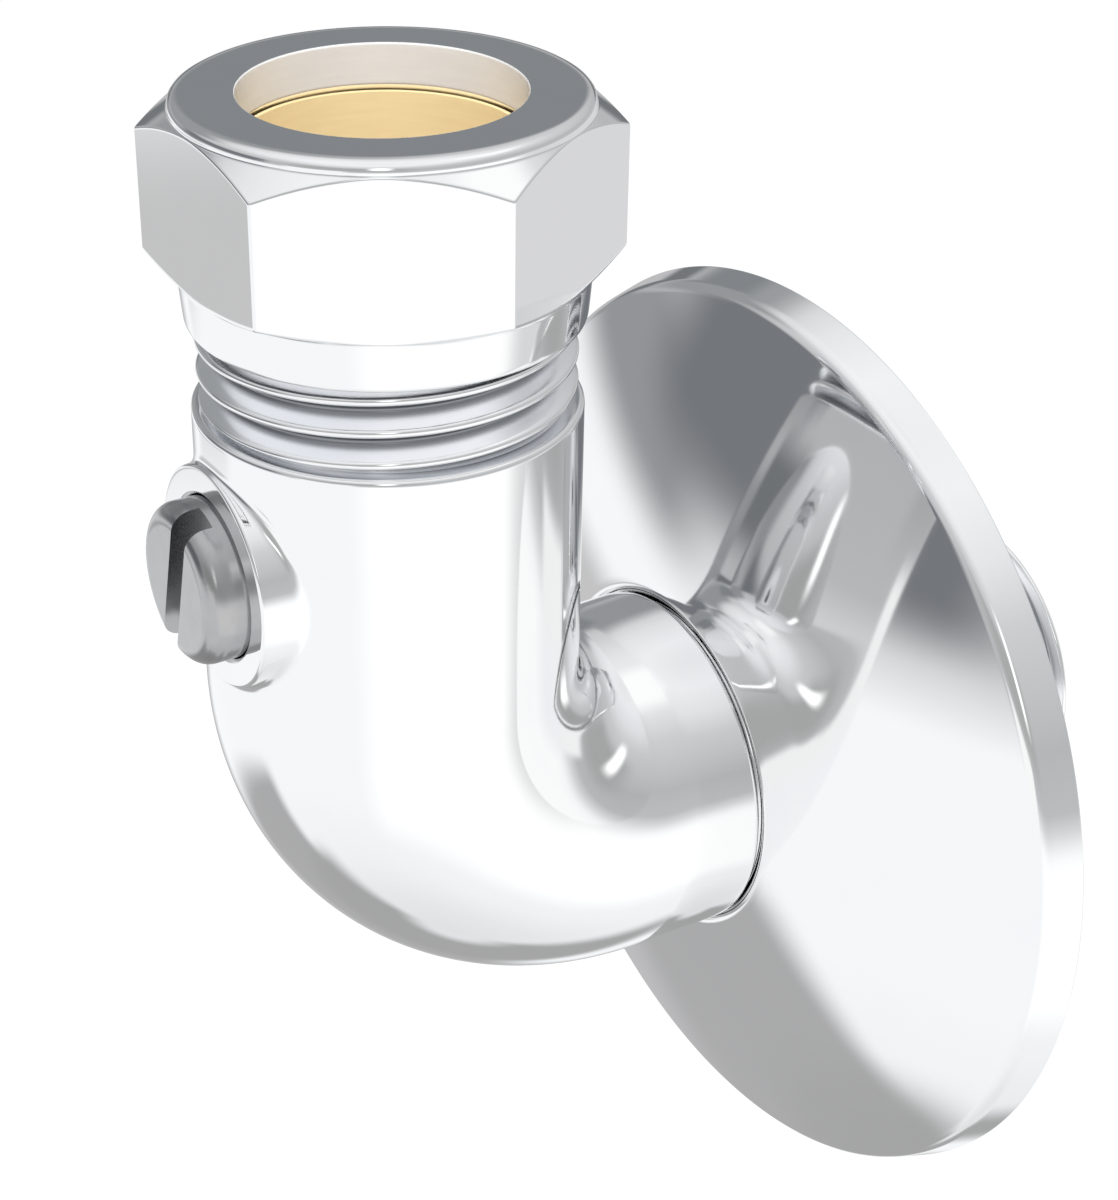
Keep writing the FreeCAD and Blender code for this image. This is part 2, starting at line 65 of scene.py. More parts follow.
def soften(corners, legs, steps=5):
    """Rounds a closed profile, one profile for each column.

    corners is (count, columns, 2), and legs has one length for each corner, or two, before and
    after. A corner C becomes the quadratic curve from A to B with C as its handle, where A and B
    lie one leg away from C on the two sides that meet there. Where the two legs on a side want
    more than LEG_SHARE of it, both shrink alike. A guard point is added before A and after B.
    """
    legs = np.asarray(legs, float)
    legs = legs if legs.ndim == 2 else np.stack([legs, legs], axis=1)
    ahead = np.roll(corners, -1, axis=0) - corners
    side = np.linalg.norm(ahead, axis=2, keepdims=True)
    ahead = ahead / side
    behind = -np.roll(ahead, 1, axis=0)
    before, after = legs[:, 0].reshape(-1, 1, 1), legs[:, 1].reshape(-1, 1, 1)
    wanted = np.maximum(after + np.roll(before, -1, axis=0), GUARD)
    fit = np.minimum(1, LEG_SHARE * side / wanted)
    guard = np.minimum(GUARD, GUARD_SHARE * side)
    start = corners + behind * before * np.roll(fit, 1, axis=0)
    end = corners + ahead * after * fit
    first = (start + behind * np.roll(guard, 1, axis=0))[:, None]
    last = (end + ahead * guard)[:, None]
    t = np.linspace(0, 1, steps + 1).reshape(1, -1, 1, 1)
    curve = quadratic(start[:, None], corners[:, None], end[:, None], t)
    rows = np.concatenate([first, curve, last], axis=1)
    return rows.reshape(-1, corners.shape[1], 2)


print("rounding helper ready, guard", GUARD, "mm")

# %% [markdown]
# A grid becomes a mesh by joining each point to its neighbours along and across. Both ways round
# are closed here, like a ring doughnut, because every turned piece has a bore. Whether the faces
# look outwards is settled by the volume they enclose: if it comes out negative, all are flipped.

# %% Grids into meshes
def ring_faces(rows, columns):
    """The four-sided faces of a grid closed both ways: (i, j), (i, j+1), (i+1, j+1), (i+1, j)."""
    index = np.arange(rows * columns).reshape(rows, columns)
    across = np.roll(index, -1, axis=1)
    along = np.roll(index, -1, axis=0)
    both = np.roll(along, -1, axis=1)
    return np.stack([index, across, both, along], axis=2).reshape(-1, 4)


def enclosed(points, faces):
    """Six times the volume inside the faces, as the sum of corner triple products."""
    a, b, c, d = (points[faces[:, k]] for k in range(4))
    first = np.einsum("ij,ij->i", a, np.cross(b, c))
    second = np.einsum("ij,ij->i", a, np.cross(c, d))
    return first.sum() + second.sum()


def make_piece(name, points, faces, body, slot, *nodes):
    """Makes one closed smooth mesh of points in millimetres, in place of the CAD nodes it dresses."""
    used, flat = np.unique(faces, return_inverse=True)
    faces = flat.reshape(faces.shape)
    points = points[used]
    if enclosed(points, faces) < 0:
        faces = faces[:, ::-1]
    mesh = bpy.data.meshes.new(name)
    mesh.vertices.add(len(points))
    mesh.vertices.foreach_set("co", (points * MM).ravel())
    mesh.loops.add(faces.size)
    mesh.loops.foreach_set("vertex_index", faces.ravel())
    mesh.polygons.add(len(faces))
    mesh.polygons.foreach_set("loop_start", np.arange(0, faces.size, 4))
    mesh.polygons.foreach_set("use_smooth", np.ones(len(faces), bool))
    mesh.update(calc_edges=True)
    piece = bpy.data.objects.new(name, mesh)
    bpy.context.scene.collection.objects.link(piece)
    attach(piece, body)
    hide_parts(*nodes)
    print(name, len(points), "points", len(faces), "faces")
    return piece


# %% [markdown]
# The elbow is one forging: a tube that comes down, bends and runs into the wall. Its skin is a
# profile carried along the centreline. The profile is a loop of two numbers, how far along the
# centreline and how far out from it, and it goes down the outside and comes back up the inside,
# so one grid holds the outer skin, the waterway and both ends.

# %% The elbow's sizes and its centreline
INLET_Y = -28.1
MOUTH_Z = 39.6
BEND_RADIUS = 13.3
TUBE_RADIUS = 10.85
OUTLET_END_Y = 16.8
SHOULDER_Z = 29.95
SHOULDER_Y = -8.75
PITCH = 25.4 / 14
THREAD_RADIUS = 10.4775
BALL_Z = 21.5

STRAIGHT = MOUTH_Z - BEND_RADIUS
BEND_END = STRAIGHT + BEND_RADIUS * math.pi / 2
PATH_END = BEND_END + OUTLET_END_Y - (INLET_Y + BEND_RADIUS)


def along_inlet(z):
    """How far down the centreline a height on the upright leg is."""
    return MOUTH_Z - z


def along_outlet(y):
    """How far along the centreline a place on the level leg is."""
    return BEND_END + y - (INLET_Y + BEND_RADIUS)


def on_elbow(along, radius, angle):
    """Points round the centreline: centre + radius (cos(angle) N + sin(angle) X).

    The centreline is straight down, then a quarter circle, then straight along +Y. N is the
    direction away from the bend's centre: -Y on the upright leg, -Z on the level one.
    """
    turn = np.clip((along - STRAIGHT) / BEND_RADIUS, 0, math.pi / 2)
    down = np.minimum(along, STRAIGHT)
    level = np.maximum(along - BEND_END, 0)
    centre_y = INLET_Y + BEND_RADIUS * (1 - np.cos(turn)) + level
    centre_z = MOUTH_Z - down - BEND_RADIUS * np.sin(turn)
    reach = radius * np.cos(angle)
    x = radius * np.sin(angle)
    return np.stack([x, centre_y - reach * np.cos(turn), centre_z - reach * np.sin(turn)], axis=-1)


print("centreline", round(PATH_END, 2), "mm long")

# %% [markdown]
# Pipe threads are cut as a groove that climbs one pitch in a turn. The form is the one that half
# inch pipe threads have: flanks 55 degrees apart, with the crest and the root rounded by the same
# radius. The same formula does both ends. It only ever takes metal away from the plain profile.

# %% The thread's groove
FLANK = math.radians(27.5)
THREAD_ROUND = 0.137 * PITCH
INLET_ROOT_Z = 31.54
INLET_ROOT_ANGLE = math.radians(60)

# Half a turn of the form, from the root to the crest: arc, straight flank, arc.
ROUND_HALF = THREAD_ROUND * math.cos(FLANK)
ROUND_HEIGHT = THREAD_ROUND * (1 - math.sin(FLANK))
FLANK_HEIGHT = (PITCH / 2 - 2 * ROUND_HALF) / math.tan(FLANK)
THREAD_DEPTH = 2 * ROUND_HEIGHT + FLANK_HEIGHT


def thread_radius(turns):
    """Crest radius less the groove's depth, at a number of turns past a root.

    With a the distance to the nearest root, and b to the nearest crest, the height over the root
    is r - sqrt(r^2 - a^2) in the root, depth - r + sqrt(r^2 - b^2) in the crest, and a straight
    line between them.
    """
    from_root = PITCH * np.abs(turns - np.round(turns))
    from_crest = PITCH / 2 - from_root
    root = THREAD_ROUND - np.sqrt(THREAD_ROUND ** 2 - np.minimum(from_root, ROUND_HALF) ** 2)
    crest = THREAD_ROUND - np.sqrt(THREAD_ROUND ** 2 - np.minimum(from_crest, ROUND_HALF) ** 2)
    flank = np.clip(from_root - ROUND_HALF, 0, PITCH / 2 - 2 * ROUND_HALF) / math.tan(FLANK)
    return THREAD_RADIUS - THREAD_DEPTH + root + flank + ROUND_HEIGHT - crest


def inlet_thread(along, angle):
    """The inlet's thread, right-handed about +Z, with a root at a known height and angle."""
    z = MOUTH_Z - along
    return thread_radius((z - INLET_ROOT_Z) / PITCH - (angle - INLET_ROOT_ANGLE) / (2 * math.pi))


def outlet_thread(along, angle):
    """The outlet's thread, right-handed about +Y."""
    y = along - BEND_END + INLET_Y + BEND_RADIUS
    return thread_radius(y / PITCH + angle / (2 * math.pi))


print("thread pitch", round(PITCH, 3), "mm, depth", round(THREAD_DEPTH, 3))

# %% [markdown]
# Each corner of the profile carries the length of its rounding. Rows are then added where the form
# needs them: closely in the threads, evenly round the bend, and level with the boss outside and the
# ball chamber inside, where a rectangle of the grid will be left out for the boss and its bore.

# %% The elbow's profile
MOUTH_RADIUS = 8.42
MOUTH_CONE_DEPTH = 1.5
SOCKET_RADIUS = 7.6
PIPE_STOP_Z = 29.4
CAGE_RADIUS = 7.3
CHAMBER_RADIUS = 8.0
CHAMBER_HALF = 3.4
POCKET_LOW_Z = 16.0
WATERWAY_RADIUS = 5.0
OUTLET_BORE_RADIUS = 7.2
OUTLET_BORE_START_Y = -10.2
SHANK_END_Y = -5.0
OUTLET_THREAD_Y = -3.0
THREAD_ROOT_RADIUS = 9.3
THREAD_CHAMFER = 0.9
RELIEF_RADIUS = 9.75
RELIEF_FLOOR = 0.2
RELIEF_TOP = 0.45
ROOT_SLOPE = (THREAD_RADIUS - THREAD_ROOT_RADIUS) / 2

# Each corner is how far along, how far out, and how long its rounding's legs are.
ELBOW_CORNERS = np.array([
    (0, MOUTH_RADIUS, 0.08),
    (0, THREAD_RADIUS - THREAD_CHAMFER, 0.1),
    (THREAD_CHAMFER, THREAD_RADIUS, 0.1),
    (along_inlet(SHOULDER_Z + RELIEF_TOP), THREAD_RADIUS, 0.08),
    (along_inlet(SHOULDER_Z + RELIEF_FLOOR), RELIEF_RADIUS, 0.06),
    (along_inlet(SHOULDER_Z), RELIEF_RADIUS, 0.06),
    (along_inlet(SHOULDER_Z), TUBE_RADIUS, 0.35),
    (along_outlet(SHOULDER_Y), TUBE_RADIUS, 0.35),
    (along_outlet(SHOULDER_Y), THREAD_RADIUS, 0.05),
    (along_outlet(SHANK_END_Y), THREAD_RADIUS, 0.1),
    (along_outlet(SHANK_END_Y + ROOT_SLOPE), THREAD_ROOT_RADIUS, 0.1),
    (along_outlet(OUTLET_THREAD_Y - ROOT_SLOPE), THREAD_ROOT_RADIUS, 0.1),
    (along_outlet(OUTLET_THREAD_Y), THREAD_RADIUS, 0.1),
    (PATH_END - THREAD_CHAMFER, THREAD_RADIUS, 0.1),
    (PATH_END, THREAD_RADIUS - THREAD_CHAMFER, 0.1),
    (PATH_END, OUTLET_BORE_RADIUS, 0.15),
    (along_outlet(OUTLET_BORE_START_Y), OUTLET_BORE_RADIUS, 0.08),
    (along_outlet(OUTLET_BORE_START_Y), WATERWAY_RADIUS, 0.15),
    (along_inlet(POCKET_LOW_Z), WATERWAY_RADIUS, 0.06),
    (along_inlet(POCKET_LOW_Z), CAGE_RADIUS, 0.05),
    (along_inlet(PIPE_STOP_Z), CAGE_RADIUS, 0.05),
    (along_inlet(PIPE_STOP_Z), SOCKET_RADIUS, 0.05),
    (MOUTH_CONE_DEPTH, SOCKET_RADIUS, 0.15),
])

COLUMNS = 160
HOLE_COLUMNS = 22
HOLE_ROWS = 30
LEDGE_ROWS = 7
INLET_STEP = PITCH / 26
OUTLET_STEP = PITCH / 14
BEND_STEP = 0.42
HOLE_TOP_Z = 29.4
HOLE_LOW_Z = 13.6
POCKET_HALF = 5.38
LEDGE_HALF = 0.02

# The inner wall past the ball chamber, with its two ledges, as heights above the ball's centre.
CHAMBER_HEIGHTS = np.concatenate([
    np.linspace(-POCKET_HALF, -CHAMBER_HALF - LEDGE_HALF, LEDGE_ROWS),
    np.linspace(-CHAMBER_HALF + LEDGE_HALF, CHAMBER_HALF - LEDGE_HALF, HOLE_ROWS + 1 - 2 * LEDGE_ROWS),
    np.linspace(CHAMBER_HALF + LEDGE_HALF, POCKET_HALF, LEDGE_ROWS),
])
CHAMBER_WALL = np.where(np.abs(CHAMBER_HEIGHTS) < CHAMBER_HALF, CHAMBER_RADIUS, CAGE_RADIUS)


def fill_in(profile, low, high, step):
    """Adds evenly spaced points to the sides of a profile that lie between two places along."""
    rows = [profile[:1]]
    for start, end in zip(profile[:-1], profile[1:]):
        inside = low <= min(start[0], end[0]) and max(start[0], end[0]) <= high
        count = max(math.ceil(abs(end[0] - start[0]) / step), 1) if inside else 1
        share = np.arange(1, count + 1).reshape(-1, 1) / count
        rows.append(start + (end - start) * share)
    return np.concatenate(rows)


def cut_in(profile, stations):
    """Puts stations into the one side of a profile that holds them all."""
    low, high = stations[:, 0].min(), stations[:, 0].max()
    sides = np.sort(np.stack([profile[:-1, 0], profile[1:, 0]]), axis=0)
    side = int(np.flatnonzero((sides[0] < low) & (high < sides[1]))[0])
    return np.insert(profile, side + 1, stations, axis=0)


def elbow_profile():
    """The rounded loop with its extra stations, and the first row of each of the two rectangles."""
    rounded = soften(ELBOW_CORNERS[:, None, :2], ELBOW_CORNERS[:, 2], steps=4)[:, 0]
    boss_along = np.linspace(along_inlet(HOLE_TOP_Z), along_inlet(HOLE_LOW_Z), HOLE_ROWS + 1)
    boss_stations = np.stack([boss_along, np.full(len(boss_along), TUBE_RADIUS)], axis=1)
    pocket_stations = np.stack([along_inlet(BALL_Z + CHAMBER_HEIGHTS), CHAMBER_WALL], axis=1)
    rounded = cut_in(rounded, boss_stations)
    rounded = cut_in(rounded, pocket_stations)
    peak = int(rounded[:, 0].argmax())
    outside, inside = rounded[:peak + 1], rounded[peak:]
    outside = fill_in(outside, 0, along_inlet(SHOULDER_Z), INLET_STEP)
    outside = fill_in(outside, along_inlet(HOLE_LOW_Z), along_outlet(SHOULDER_Y), BEND_STEP)
    outside = fill_in(outside, along_outlet(OUTLET_THREAD_Y), PATH_END, OUTLET_STEP)
    inside = fill_in(inside, along_inlet(POCKET_LOW_Z), along_outlet(OUTLET_BORE_START_Y), 2 * BEND_STEP)
    loop = np.concatenate([outside, inside[1:]])
    first_rows = [int(np.abs(loop - mark).sum(axis=1).argmin())
                  for mark in (boss_stations[0], pocket_stations[0])]
    return loop, first_rows


elbow_loop, (first_boss_row, first_pocket_row) = elbow_profile()
print("elbow loop", len(elbow_loop), "stations, rectangles from", first_boss_row, "and", first_pocket_row)

# %% [markdown]
# The boss for the spindle stands on the front of the tube. Where it stands, a rectangle is left
# out of the grid and filled with rings that run from the rectangle to the boss, up its side, over
# its face and down its bore to the chamber. Each ring is worked out for all its points at once.
# The fillet between tube and boss is a quadratic curve whose handle is where the tube's tangent
# meets the boss's side, so the mirror shows no crease. Above and below, where the face stands
# hardly proud of the tube, the fillet shrinks with the height that is left.

# %% The boss on the elbow
BOSS_RADIUS = 6.35
BOSS_REACH = 11.2
BOSS_SLOPE = math.tan(math.radians(4))
BOSS_EDGE = 0.25
BOSS_FILLET = 0.55
STEM_BORE_RADIUS = 4.67
MOUTH_CHAMFER = 0.2
POCKET_RADIUS = 5.2
POCKET_END = 8.17
ROOT_ROUNDS = 6
FILLET_ROWS = 8
EDGE_ROWS = 5
MOUTH_ROWS = 3

# Shares of the height left over the tube that the fillet and the edge may take, of the side that
# its guard rows stand off, and of the mouth's chamfer where its curve ends and two rows follow.
FILLET_SHARE = 0.45
EDGE_SHARE = 0.4
SIDE_GUARD_SHARE = 0.1
MOUTH_SHARES = (0.3, 0.4, 0.7)


def boss_points(radius, reach, phi):
    """Points about the spindle's axis: radius from it, reach out from the leg's axis, phi from +Z to +X."""
    x = radius * np.sin(phi)
    y = np.broadcast_to(INLET_Y - reach, x.shape)
    return np.stack([x, y, BALL_Z + radius * np.cos(phi)], axis=-1)


def boss_side(reach):
    """The boss's radius at a reach, which grows towards the tube by the forging's draft."""
    return BOSS_RADIUS + (BOSS_REACH - reach) * BOSS_SLOPE


def tube_reach(radius, phi):
    """How far out the tube's surface is at a point about the spindle's axis."""
    return np.sqrt(TUBE_RADIUS ** 2 - (radius * np.sin(phi)) ** 2)


def curve_rows(start, handle, end, steps):
    """Rows of a quadratic curve from start to end, both ends left out."""
    for t in np.linspace(0, 1, steps + 2)[1:-1]:
        yield quadratic(start, handle, end, t)


def boss_row(radius, reach, phi):
    """One row of (radius, reach), with a value of each for every column."""
    return np.stack([np.broadcast_to(radius, phi.shape), np.broadcast_to(reach, phi.shape)])


def fillet_start(phi):
    """The fillet's foot on the tube, and its handle, where the tube's tangent meets the boss's side."""
    root = np.full(phi.shape, BOSS_RADIUS)
    for _ in range(ROOT_ROUNDS):
        root = boss_side(tube_reach(root, phi))
    foot_radius = root + BOSS_FILLET
    foot_reach = tube_reach(foot_radius, phi)
    tangent = -foot_radius * np.sin(phi) ** 2 / foot_reach
    handle_radius = BOSS_RADIUS + (BOSS_REACH - foot_reach + tangent * foot_radius) * BOSS_SLOPE
    handle_radius = handle_radius / (1 + tangent * BOSS_SLOPE)
    handle_reach = foot_reach + tangent * (handle_radius - foot_radius)
    return boss_row(foot_radius, foot_reach, phi), boss_row(handle_radius, handle_reach, phi)


def boss_outside(phi):
    """Rows from the fillet's foot, up the boss's side and over its edge, to its flat face."""
    foot, handle = fillet_start(phi)
    height = BOSS_REACH - handle[1]
    low = handle[1] + np.minimum(BOSS_FILLET, FILLET_SHARE * height)
    edge = np.minimum(BOSS_EDGE, EDGE_SHARE * height)
    high = BOSS_REACH - edge
    guard = SIDE_GUARD_SHARE * (high - low)
    side = [boss_row(boss_side(reach), reach, phi) for reach in (low, low + guard, high - guard, high)]
    corner, face, face_guard = (boss_row(BOSS_RADIUS - inwards, BOSS_REACH, phi)
                                for inwards in (0, edge, edge + GUARD))
    return [foot, *curve_rows(foot, handle, side[0], FILLET_ROWS), *side,
            *curve_rows(side[-1], corner, face, EDGE_ROWS), face, face_guard]


def boss_bore(phi):
    """Rows from the flat face, over the mouth's chamfer and down the bore, to the bore's pocket."""
    mouth = STEM_BORE_RADIUS + MOUTH_CHAMFER
    chamfer_end = BOSS_REACH - MOUTH_CHAMFER
    far_guard, guard, top = (boss_row(mouth + outwards, BOSS_REACH, phi)
                             for outwards in (2 * GUARD, GUARD, 0))
    drop = boss_row(STEM_BORE_RADIUS, chamfer_end, phi) - top
    curve_end, *chamfer = (top + share * drop for share in MOUTH_SHARES)
    walls = [
        (STEM_BORE_RADIUS, chamfer_end), (STEM_BORE_RADIUS, chamfer_end - 2 * GUARD),
        (STEM_BORE_RADIUS, POCKET_END + GUARD), (STEM_BORE_RADIUS, POCKET_END),
        (POCKET_RADIUS, POCKET_END), (POCKET_RADIUS, POCKET_END - GUARD),
    ]
    return [far_guard, guard, *curve_rows(guard, top, curve_end, MOUTH_ROWS), *chamfer,
            *(boss_row(radius, reach, phi) for radius, reach in walls)]


print("boss reaches", BOSS_REACH, "mm out from the upright leg's axis")

# %% [markdown]
# The grid, less its two rectangles, and the boss's rings are joined into one closed mesh. The rings
# between a rectangle and the boss are unrolled first, so that they keep to the round wall they
# cross, the tube's outside or the ball chamber.

# %% The elbow's mesh
TUBE_SHARES = (0.3, 0.55, 0.75, 0.88, 0.96, 0.99)
CHAMBER_SHARES = (0.7, 0.35)


def rectangle_rim(index, first_row, direction):
    """Indices round a rectangle in the grid, from the middle of its upper side towards +X."""
    right = np.arange(0, HOLE_COLUMNS + 1)
    left = np.arange(-HOLE_COLUMNS, 0)
    rows = first_row + direction * np.arange(HOLE_ROWS + 1)
    return np.concatenate([
        index[rows[0], right],
        index[rows[1:], HOLE_COLUMNS],
        index[rows[-1], right[-2::-1]],
        index[rows[-1], left[::-1]],
        index[rows[-2::-1], -HOLE_COLUMNS],
        index[rows[0], left[1:]],
    ])


def wall_rows(rim, ring, wall, shares):
    """Rows on a wall about the leg's axis, from a rectangle's rim to a ring, by shares of the way.

    Both are unrolled first, to the angle round the axis and the height, so that straight lines
    between them stay on the wall, whose radius is a function of the height.
    """
    angles = [np.arctan2(line[:, 0], INLET_Y - line[:, 1]) for line in (rim, ring)]
    for share in shares:
        angle = angles[0] + (angles[1] - angles[0]) * share
        z = rim[:, 2] + (ring[:, 2] - rim[:, 2]) * share
        radius = wall(z)
        yield np.stack([radius * np.sin(angle), INLET_Y - radius * np.cos(angle), z], axis=1)


def tube_wall(z):
    """The tube's radius at any height."""
    return np.full(z.shape, TUBE_RADIUS)


def chamber_wall(z):
    """The chamber's radius at a height, with its ledges."""
    return np.interp(z - BALL_Z, CHAMBER_HEIGHTS, CHAMBER_WALL)


def elbow_grid():
    """The loop carried along the centreline, with both threads cut into it."""
    angle = 2 * math.pi * np.arange(COLUMNS) / COLUMNS
    along, radius = elbow_loop[:, :1], elbow_loop[:, 1:]
    on_inlet = along < along_inlet(SHOULDER_Z + LEDGE_HALF)
    on_outlet = along > along_outlet(OUTLET_THREAD_Y)
    radius = np.where(on_inlet, np.minimum(radius, inlet_thread(along, angle)), radius)
    radius = np.where(on_outlet, np.minimum(radius, outlet_thread(along, angle)), radius)
    return on_elbow(along, radius, angle).reshape(-1, 3)


def boss_rings(points, boss_rim, pocket_rim):
    """Rings from the outer rectangle over the boss and down its bore to the inner rectangle."""
    phi = 2 * math.pi * np.arange(len(boss_rim)) / len(boss_rim)
    section = [boss_points(radius, reach, phi) for radius, reach in boss_outside(phi) + boss_bore(phi)]
    meeting = chamber_wall(BALL_Z + POCKET_RADIUS * np.cos(phi))
    meeting = np.sqrt(meeting ** 2 - (POCKET_RADIUS * np.sin(phi)) ** 2)
    pocket = boss_points(POCKET_RADIUS, meeting, phi)
    return np.stack([*wall_rows(points[boss_rim], section[0], tube_wall, TUBE_SHARES), *section, pocket,
                     *wall_rows(points[pocket_rim], pocket, chamber_wall, CHAMBER_SHARES)])


def make_elbow():
    """The forging in one mesh: the grid, less two rectangles, and the boss's rings between them."""
    points = elbow_grid()
    index = np.arange(len(points)).reshape(-1, COLUMNS)
    keep = np.ones(index.shape, bool)
    for row in (first_boss_row, first_pocket_row):
        keep[row:row + HOLE_ROWS, np.arange(-HOLE_COLUMNS, HOLE_COLUMNS)] = False
    boss_rim = rectangle_rim(index, first_boss_row, 1)
    pocket_rim = rectangle_rim(index, first_pocket_row + HOLE_ROWS, -1)
    rings = boss_rings(points, boss_rim, pocket_rim)
    ring_index = len(points) + np.arange(rings.shape[0] * rings.shape[1]).reshape(rings.shape[:2])
    ladder = np.concatenate([boss_rim[None], ring_index, pocket_rim[None]])
    across = np.roll(ladder, -1, axis=1)
    quads = np.stack([ladder[:-1], across[:-1], across[1:], ladder[1:]], axis=2).reshape(-1, 4)
    faces = np.concatenate([ring_faces(*index.shape)[keep.ravel()], quads])
    return make_piece("elbow", np.concatenate([points, rings.reshape(-1, 3)]), faces,
                      "valve", "body_chrome", "valve_body")


elbow = make_elbow()

# %% [markdown]
# The nut is a hexagon turned round at both ends. Each upright line on it is its own column: it
# starts in the bore, crosses the round top face, comes down the cone to where that cone meets the
# flat, goes down the flat and back in under the skirt. Because the meeting point is worked out for
# each column, the curved edge of every chamfer falls exactly on a row, and stays crisp.

# %% The compression nut
NUT_FLATS = 22.5
NUT_TURN = math.radians(1.2)
NUT_TOP_Z = 47.36
NUT_HEIGHT = 12.33
NUT_FACE_RADIUS = 11.2
NUT_FACE_EDGE = (0.95, 0.55)
NUT_FACE_HEIGHT = 0.75
NUT_TOP_CONE = 1.3
NUT_SKIRT = 2.75
NUT_LOW_CONE = 0.8
NUT_SKIRT_DRAFT = 0.25
NUT_SKIRT_EDGE = 0.35
NUT_CORNER_LEG = 0.16
NUT_BORE_RADIUS = 7.65
NUT_BORE_DEPTH = 2.3
NUT_CAVITY_RADIUS = 9.3
NUT_CAVITY_DEPTH = 6.0
NUT_CONE_DEPTH = 2.36
NUT_THREAD_RADIUS = 10.5275
NUT_ENTRY = (0.2, 0.3)
SIDES = 6


def hexagon(flat_points=18, corner_points=5):
    """The rounded hexagon's outline as a radius and an angle for each column."""
    half = NUT_FLATS / 2 * math.tan(math.pi / SIDES)
    run = half - NUT_CORNER_LEG
    flat = np.concatenate([[-run], np.linspace(-run + GUARD, run - GUARD, flat_points), [run]])
    side = np.stack([np.full(flat.shape, NUT_FLATS / 2), flat], axis=1)
    corner = np.array([NUT_FLATS / 2, half])
    beyond = np.array([math.cos(math.pi / 3), math.sin(math.pi / 3)])
    end = NUT_FLATS / 2 * beyond + run * np.array([beyond[1], -beyond[0]])
    t = np.linspace(0, 1, corner_points + 2)[1:-1, None]
    bend = quadratic(side[-1], corner, end, t)
    wedge = np.concatenate([side, bend])
    angle = np.arctan2(wedge[:, 1], wedge[:, 0])
    turns = np.arange(SIDES)[:, None] * 2 * math.pi / SIDES
    angle = (turns + angle + math.pi / SIDES + NUT_TURN).ravel()
    return np.tile(np.hypot(wedge[:, 0], wedge[:, 1]), SIDES), angle


def nut_corners(flat_radius):
    """The nut's profile for every column at once: (radius, height, leg) from the bore's top outwards."""
    low = NUT_TOP_Z - NUT_HEIGHT
    corner_reach = NUT_FLATS / 2 / math.cos(math.pi / SIDES) - NUT_FACE_RADIUS
    share = (flat_radius - NUT_FACE_RADIUS) / corner_reach
    cone_top = NUT_TOP_Z - NUT_FACE_HEIGHT
    skirt_top = low + NUT_SKIRT
    bore_cone_low = NUT_TOP_Z - NUT_BORE_DEPTH - NUT_CONE_DEPTH
    thread_top = NUT_TOP_Z - NUT_CAVITY_DEPTH
    cavity_step = NUT_THREAD_RADIUS - NUT_CAVITY_RADIUS
    return [
        (NUT_BORE_RADIUS, NUT_TOP_Z, 0.12),
        (NUT_FACE_RADIUS, NUT_TOP_Z, NUT_FACE_EDGE),
        (NUT_FACE_RADIUS, cone_top, 0.1),
        (flat_radius, cone_top - share * NUT_TOP_CONE, 0.12),
        (flat_radius, skirt_top + share * NUT_LOW_CONE, 0.2),
        (NUT_FACE_RADIUS, skirt_top, 0.2),
        (NUT_FACE_RADIUS - NUT_SKIRT_DRAFT, low, NUT_SKIRT_EDGE),
        (NUT_THREAD_RADIUS + NUT_ENTRY[0], low, 0.1),
        (NUT_THREAD_RADIUS, low + NUT_ENTRY[1], 0.1),
        (NUT_THREAD_RADIUS, thread_top, 0.1),
        (NUT_CAVITY_RADIUS, thread_top + cavity_step, 0.1),
        (NUT_CAVITY_RADIUS, bore_cone_low, 0.1),
        (NUT_BORE_RADIUS, NUT_TOP_Z - NUT_BORE_DEPTH, 0.1),
    ]


def turned(rows, angle, centre_y=INLET_Y):
    """Points about a vertical axis from rows of (radius, height) and an angle for each column."""
    x = rows[..., 0] * np.sin(angle)
    y = centre_y - rows[..., 0] * np.cos(angle)
    z = np.broadcast_to(rows[..., 1], x.shape)
    return np.stack([x, y, z], axis=-1).reshape(-1, 3)


def make_nut():
    """The nut's columns stood round its axis."""
    flat_radius, angle = hexagon()
    corners = nut_corners(flat_radius)
    outline = np.stack([np.stack([np.broadcast_to(part, flat_radius.shape) for part in corner[:2]], axis=1)
                        for corner in corners])
    rows = soften(outline, [np.broadcast_to(corner[2], 2) for corner in corners])
    points = turned(rows, angle + math.pi / 2)
    return make_piece("hexagon_nut", points, ring_faces(len(rows), len(angle)),
                      "nut", "nut_chrome", "compression_nut")


nut = make_nut()

# %% [markdown]
# The olive and the wall flange were turned and spun, so each is one profile swept round its axis.
# The flange is a thin sheet pressed into a shallow dome, with a collar turned in along the spigot
# and a rim turned back to the wall. Its profile goes out along the front and comes back along the
# rear, one sheet thickness behind, and the dome is a true arc, so its mirror image has no kinks.

# %% The olive and the wall flange
OLIVE_LOW_Z = 38.66
OLIVE_LENGTH = 6.0
OLIVE_RADIUS = 8.8
OLIVE_END_RADIUS = 7.85
OLIVE_LOW_CONE = 1.74
OLIVE_TOP_CONE = 1.36
FLANGE_RADIUS = 29.95
FLANGE_FRONT_RADIUS = 29.3
FLANGE_RIM_DEPTH = 2.6
FLANGE_SHEET = 0.55
FLANGE_RIM_EDGE = 0.5
FLANGE_COLLAR_RADIUS = 10.5475
FLANGE_COLLAR_LENGTH = 2.2
FLANGE_COLLAR_BEND = 0.7
FLANGE_FRONT_Y = -8.7
FLANGE_HUB_TILT = math.radians(13)
OLIVE_COLUMNS = 144
FLANGE_COLUMNS = 320
FLANGE_BEND_ROWS = 14
FLANGE_DOME_ROWS = 40
RIM_LEAD = 3


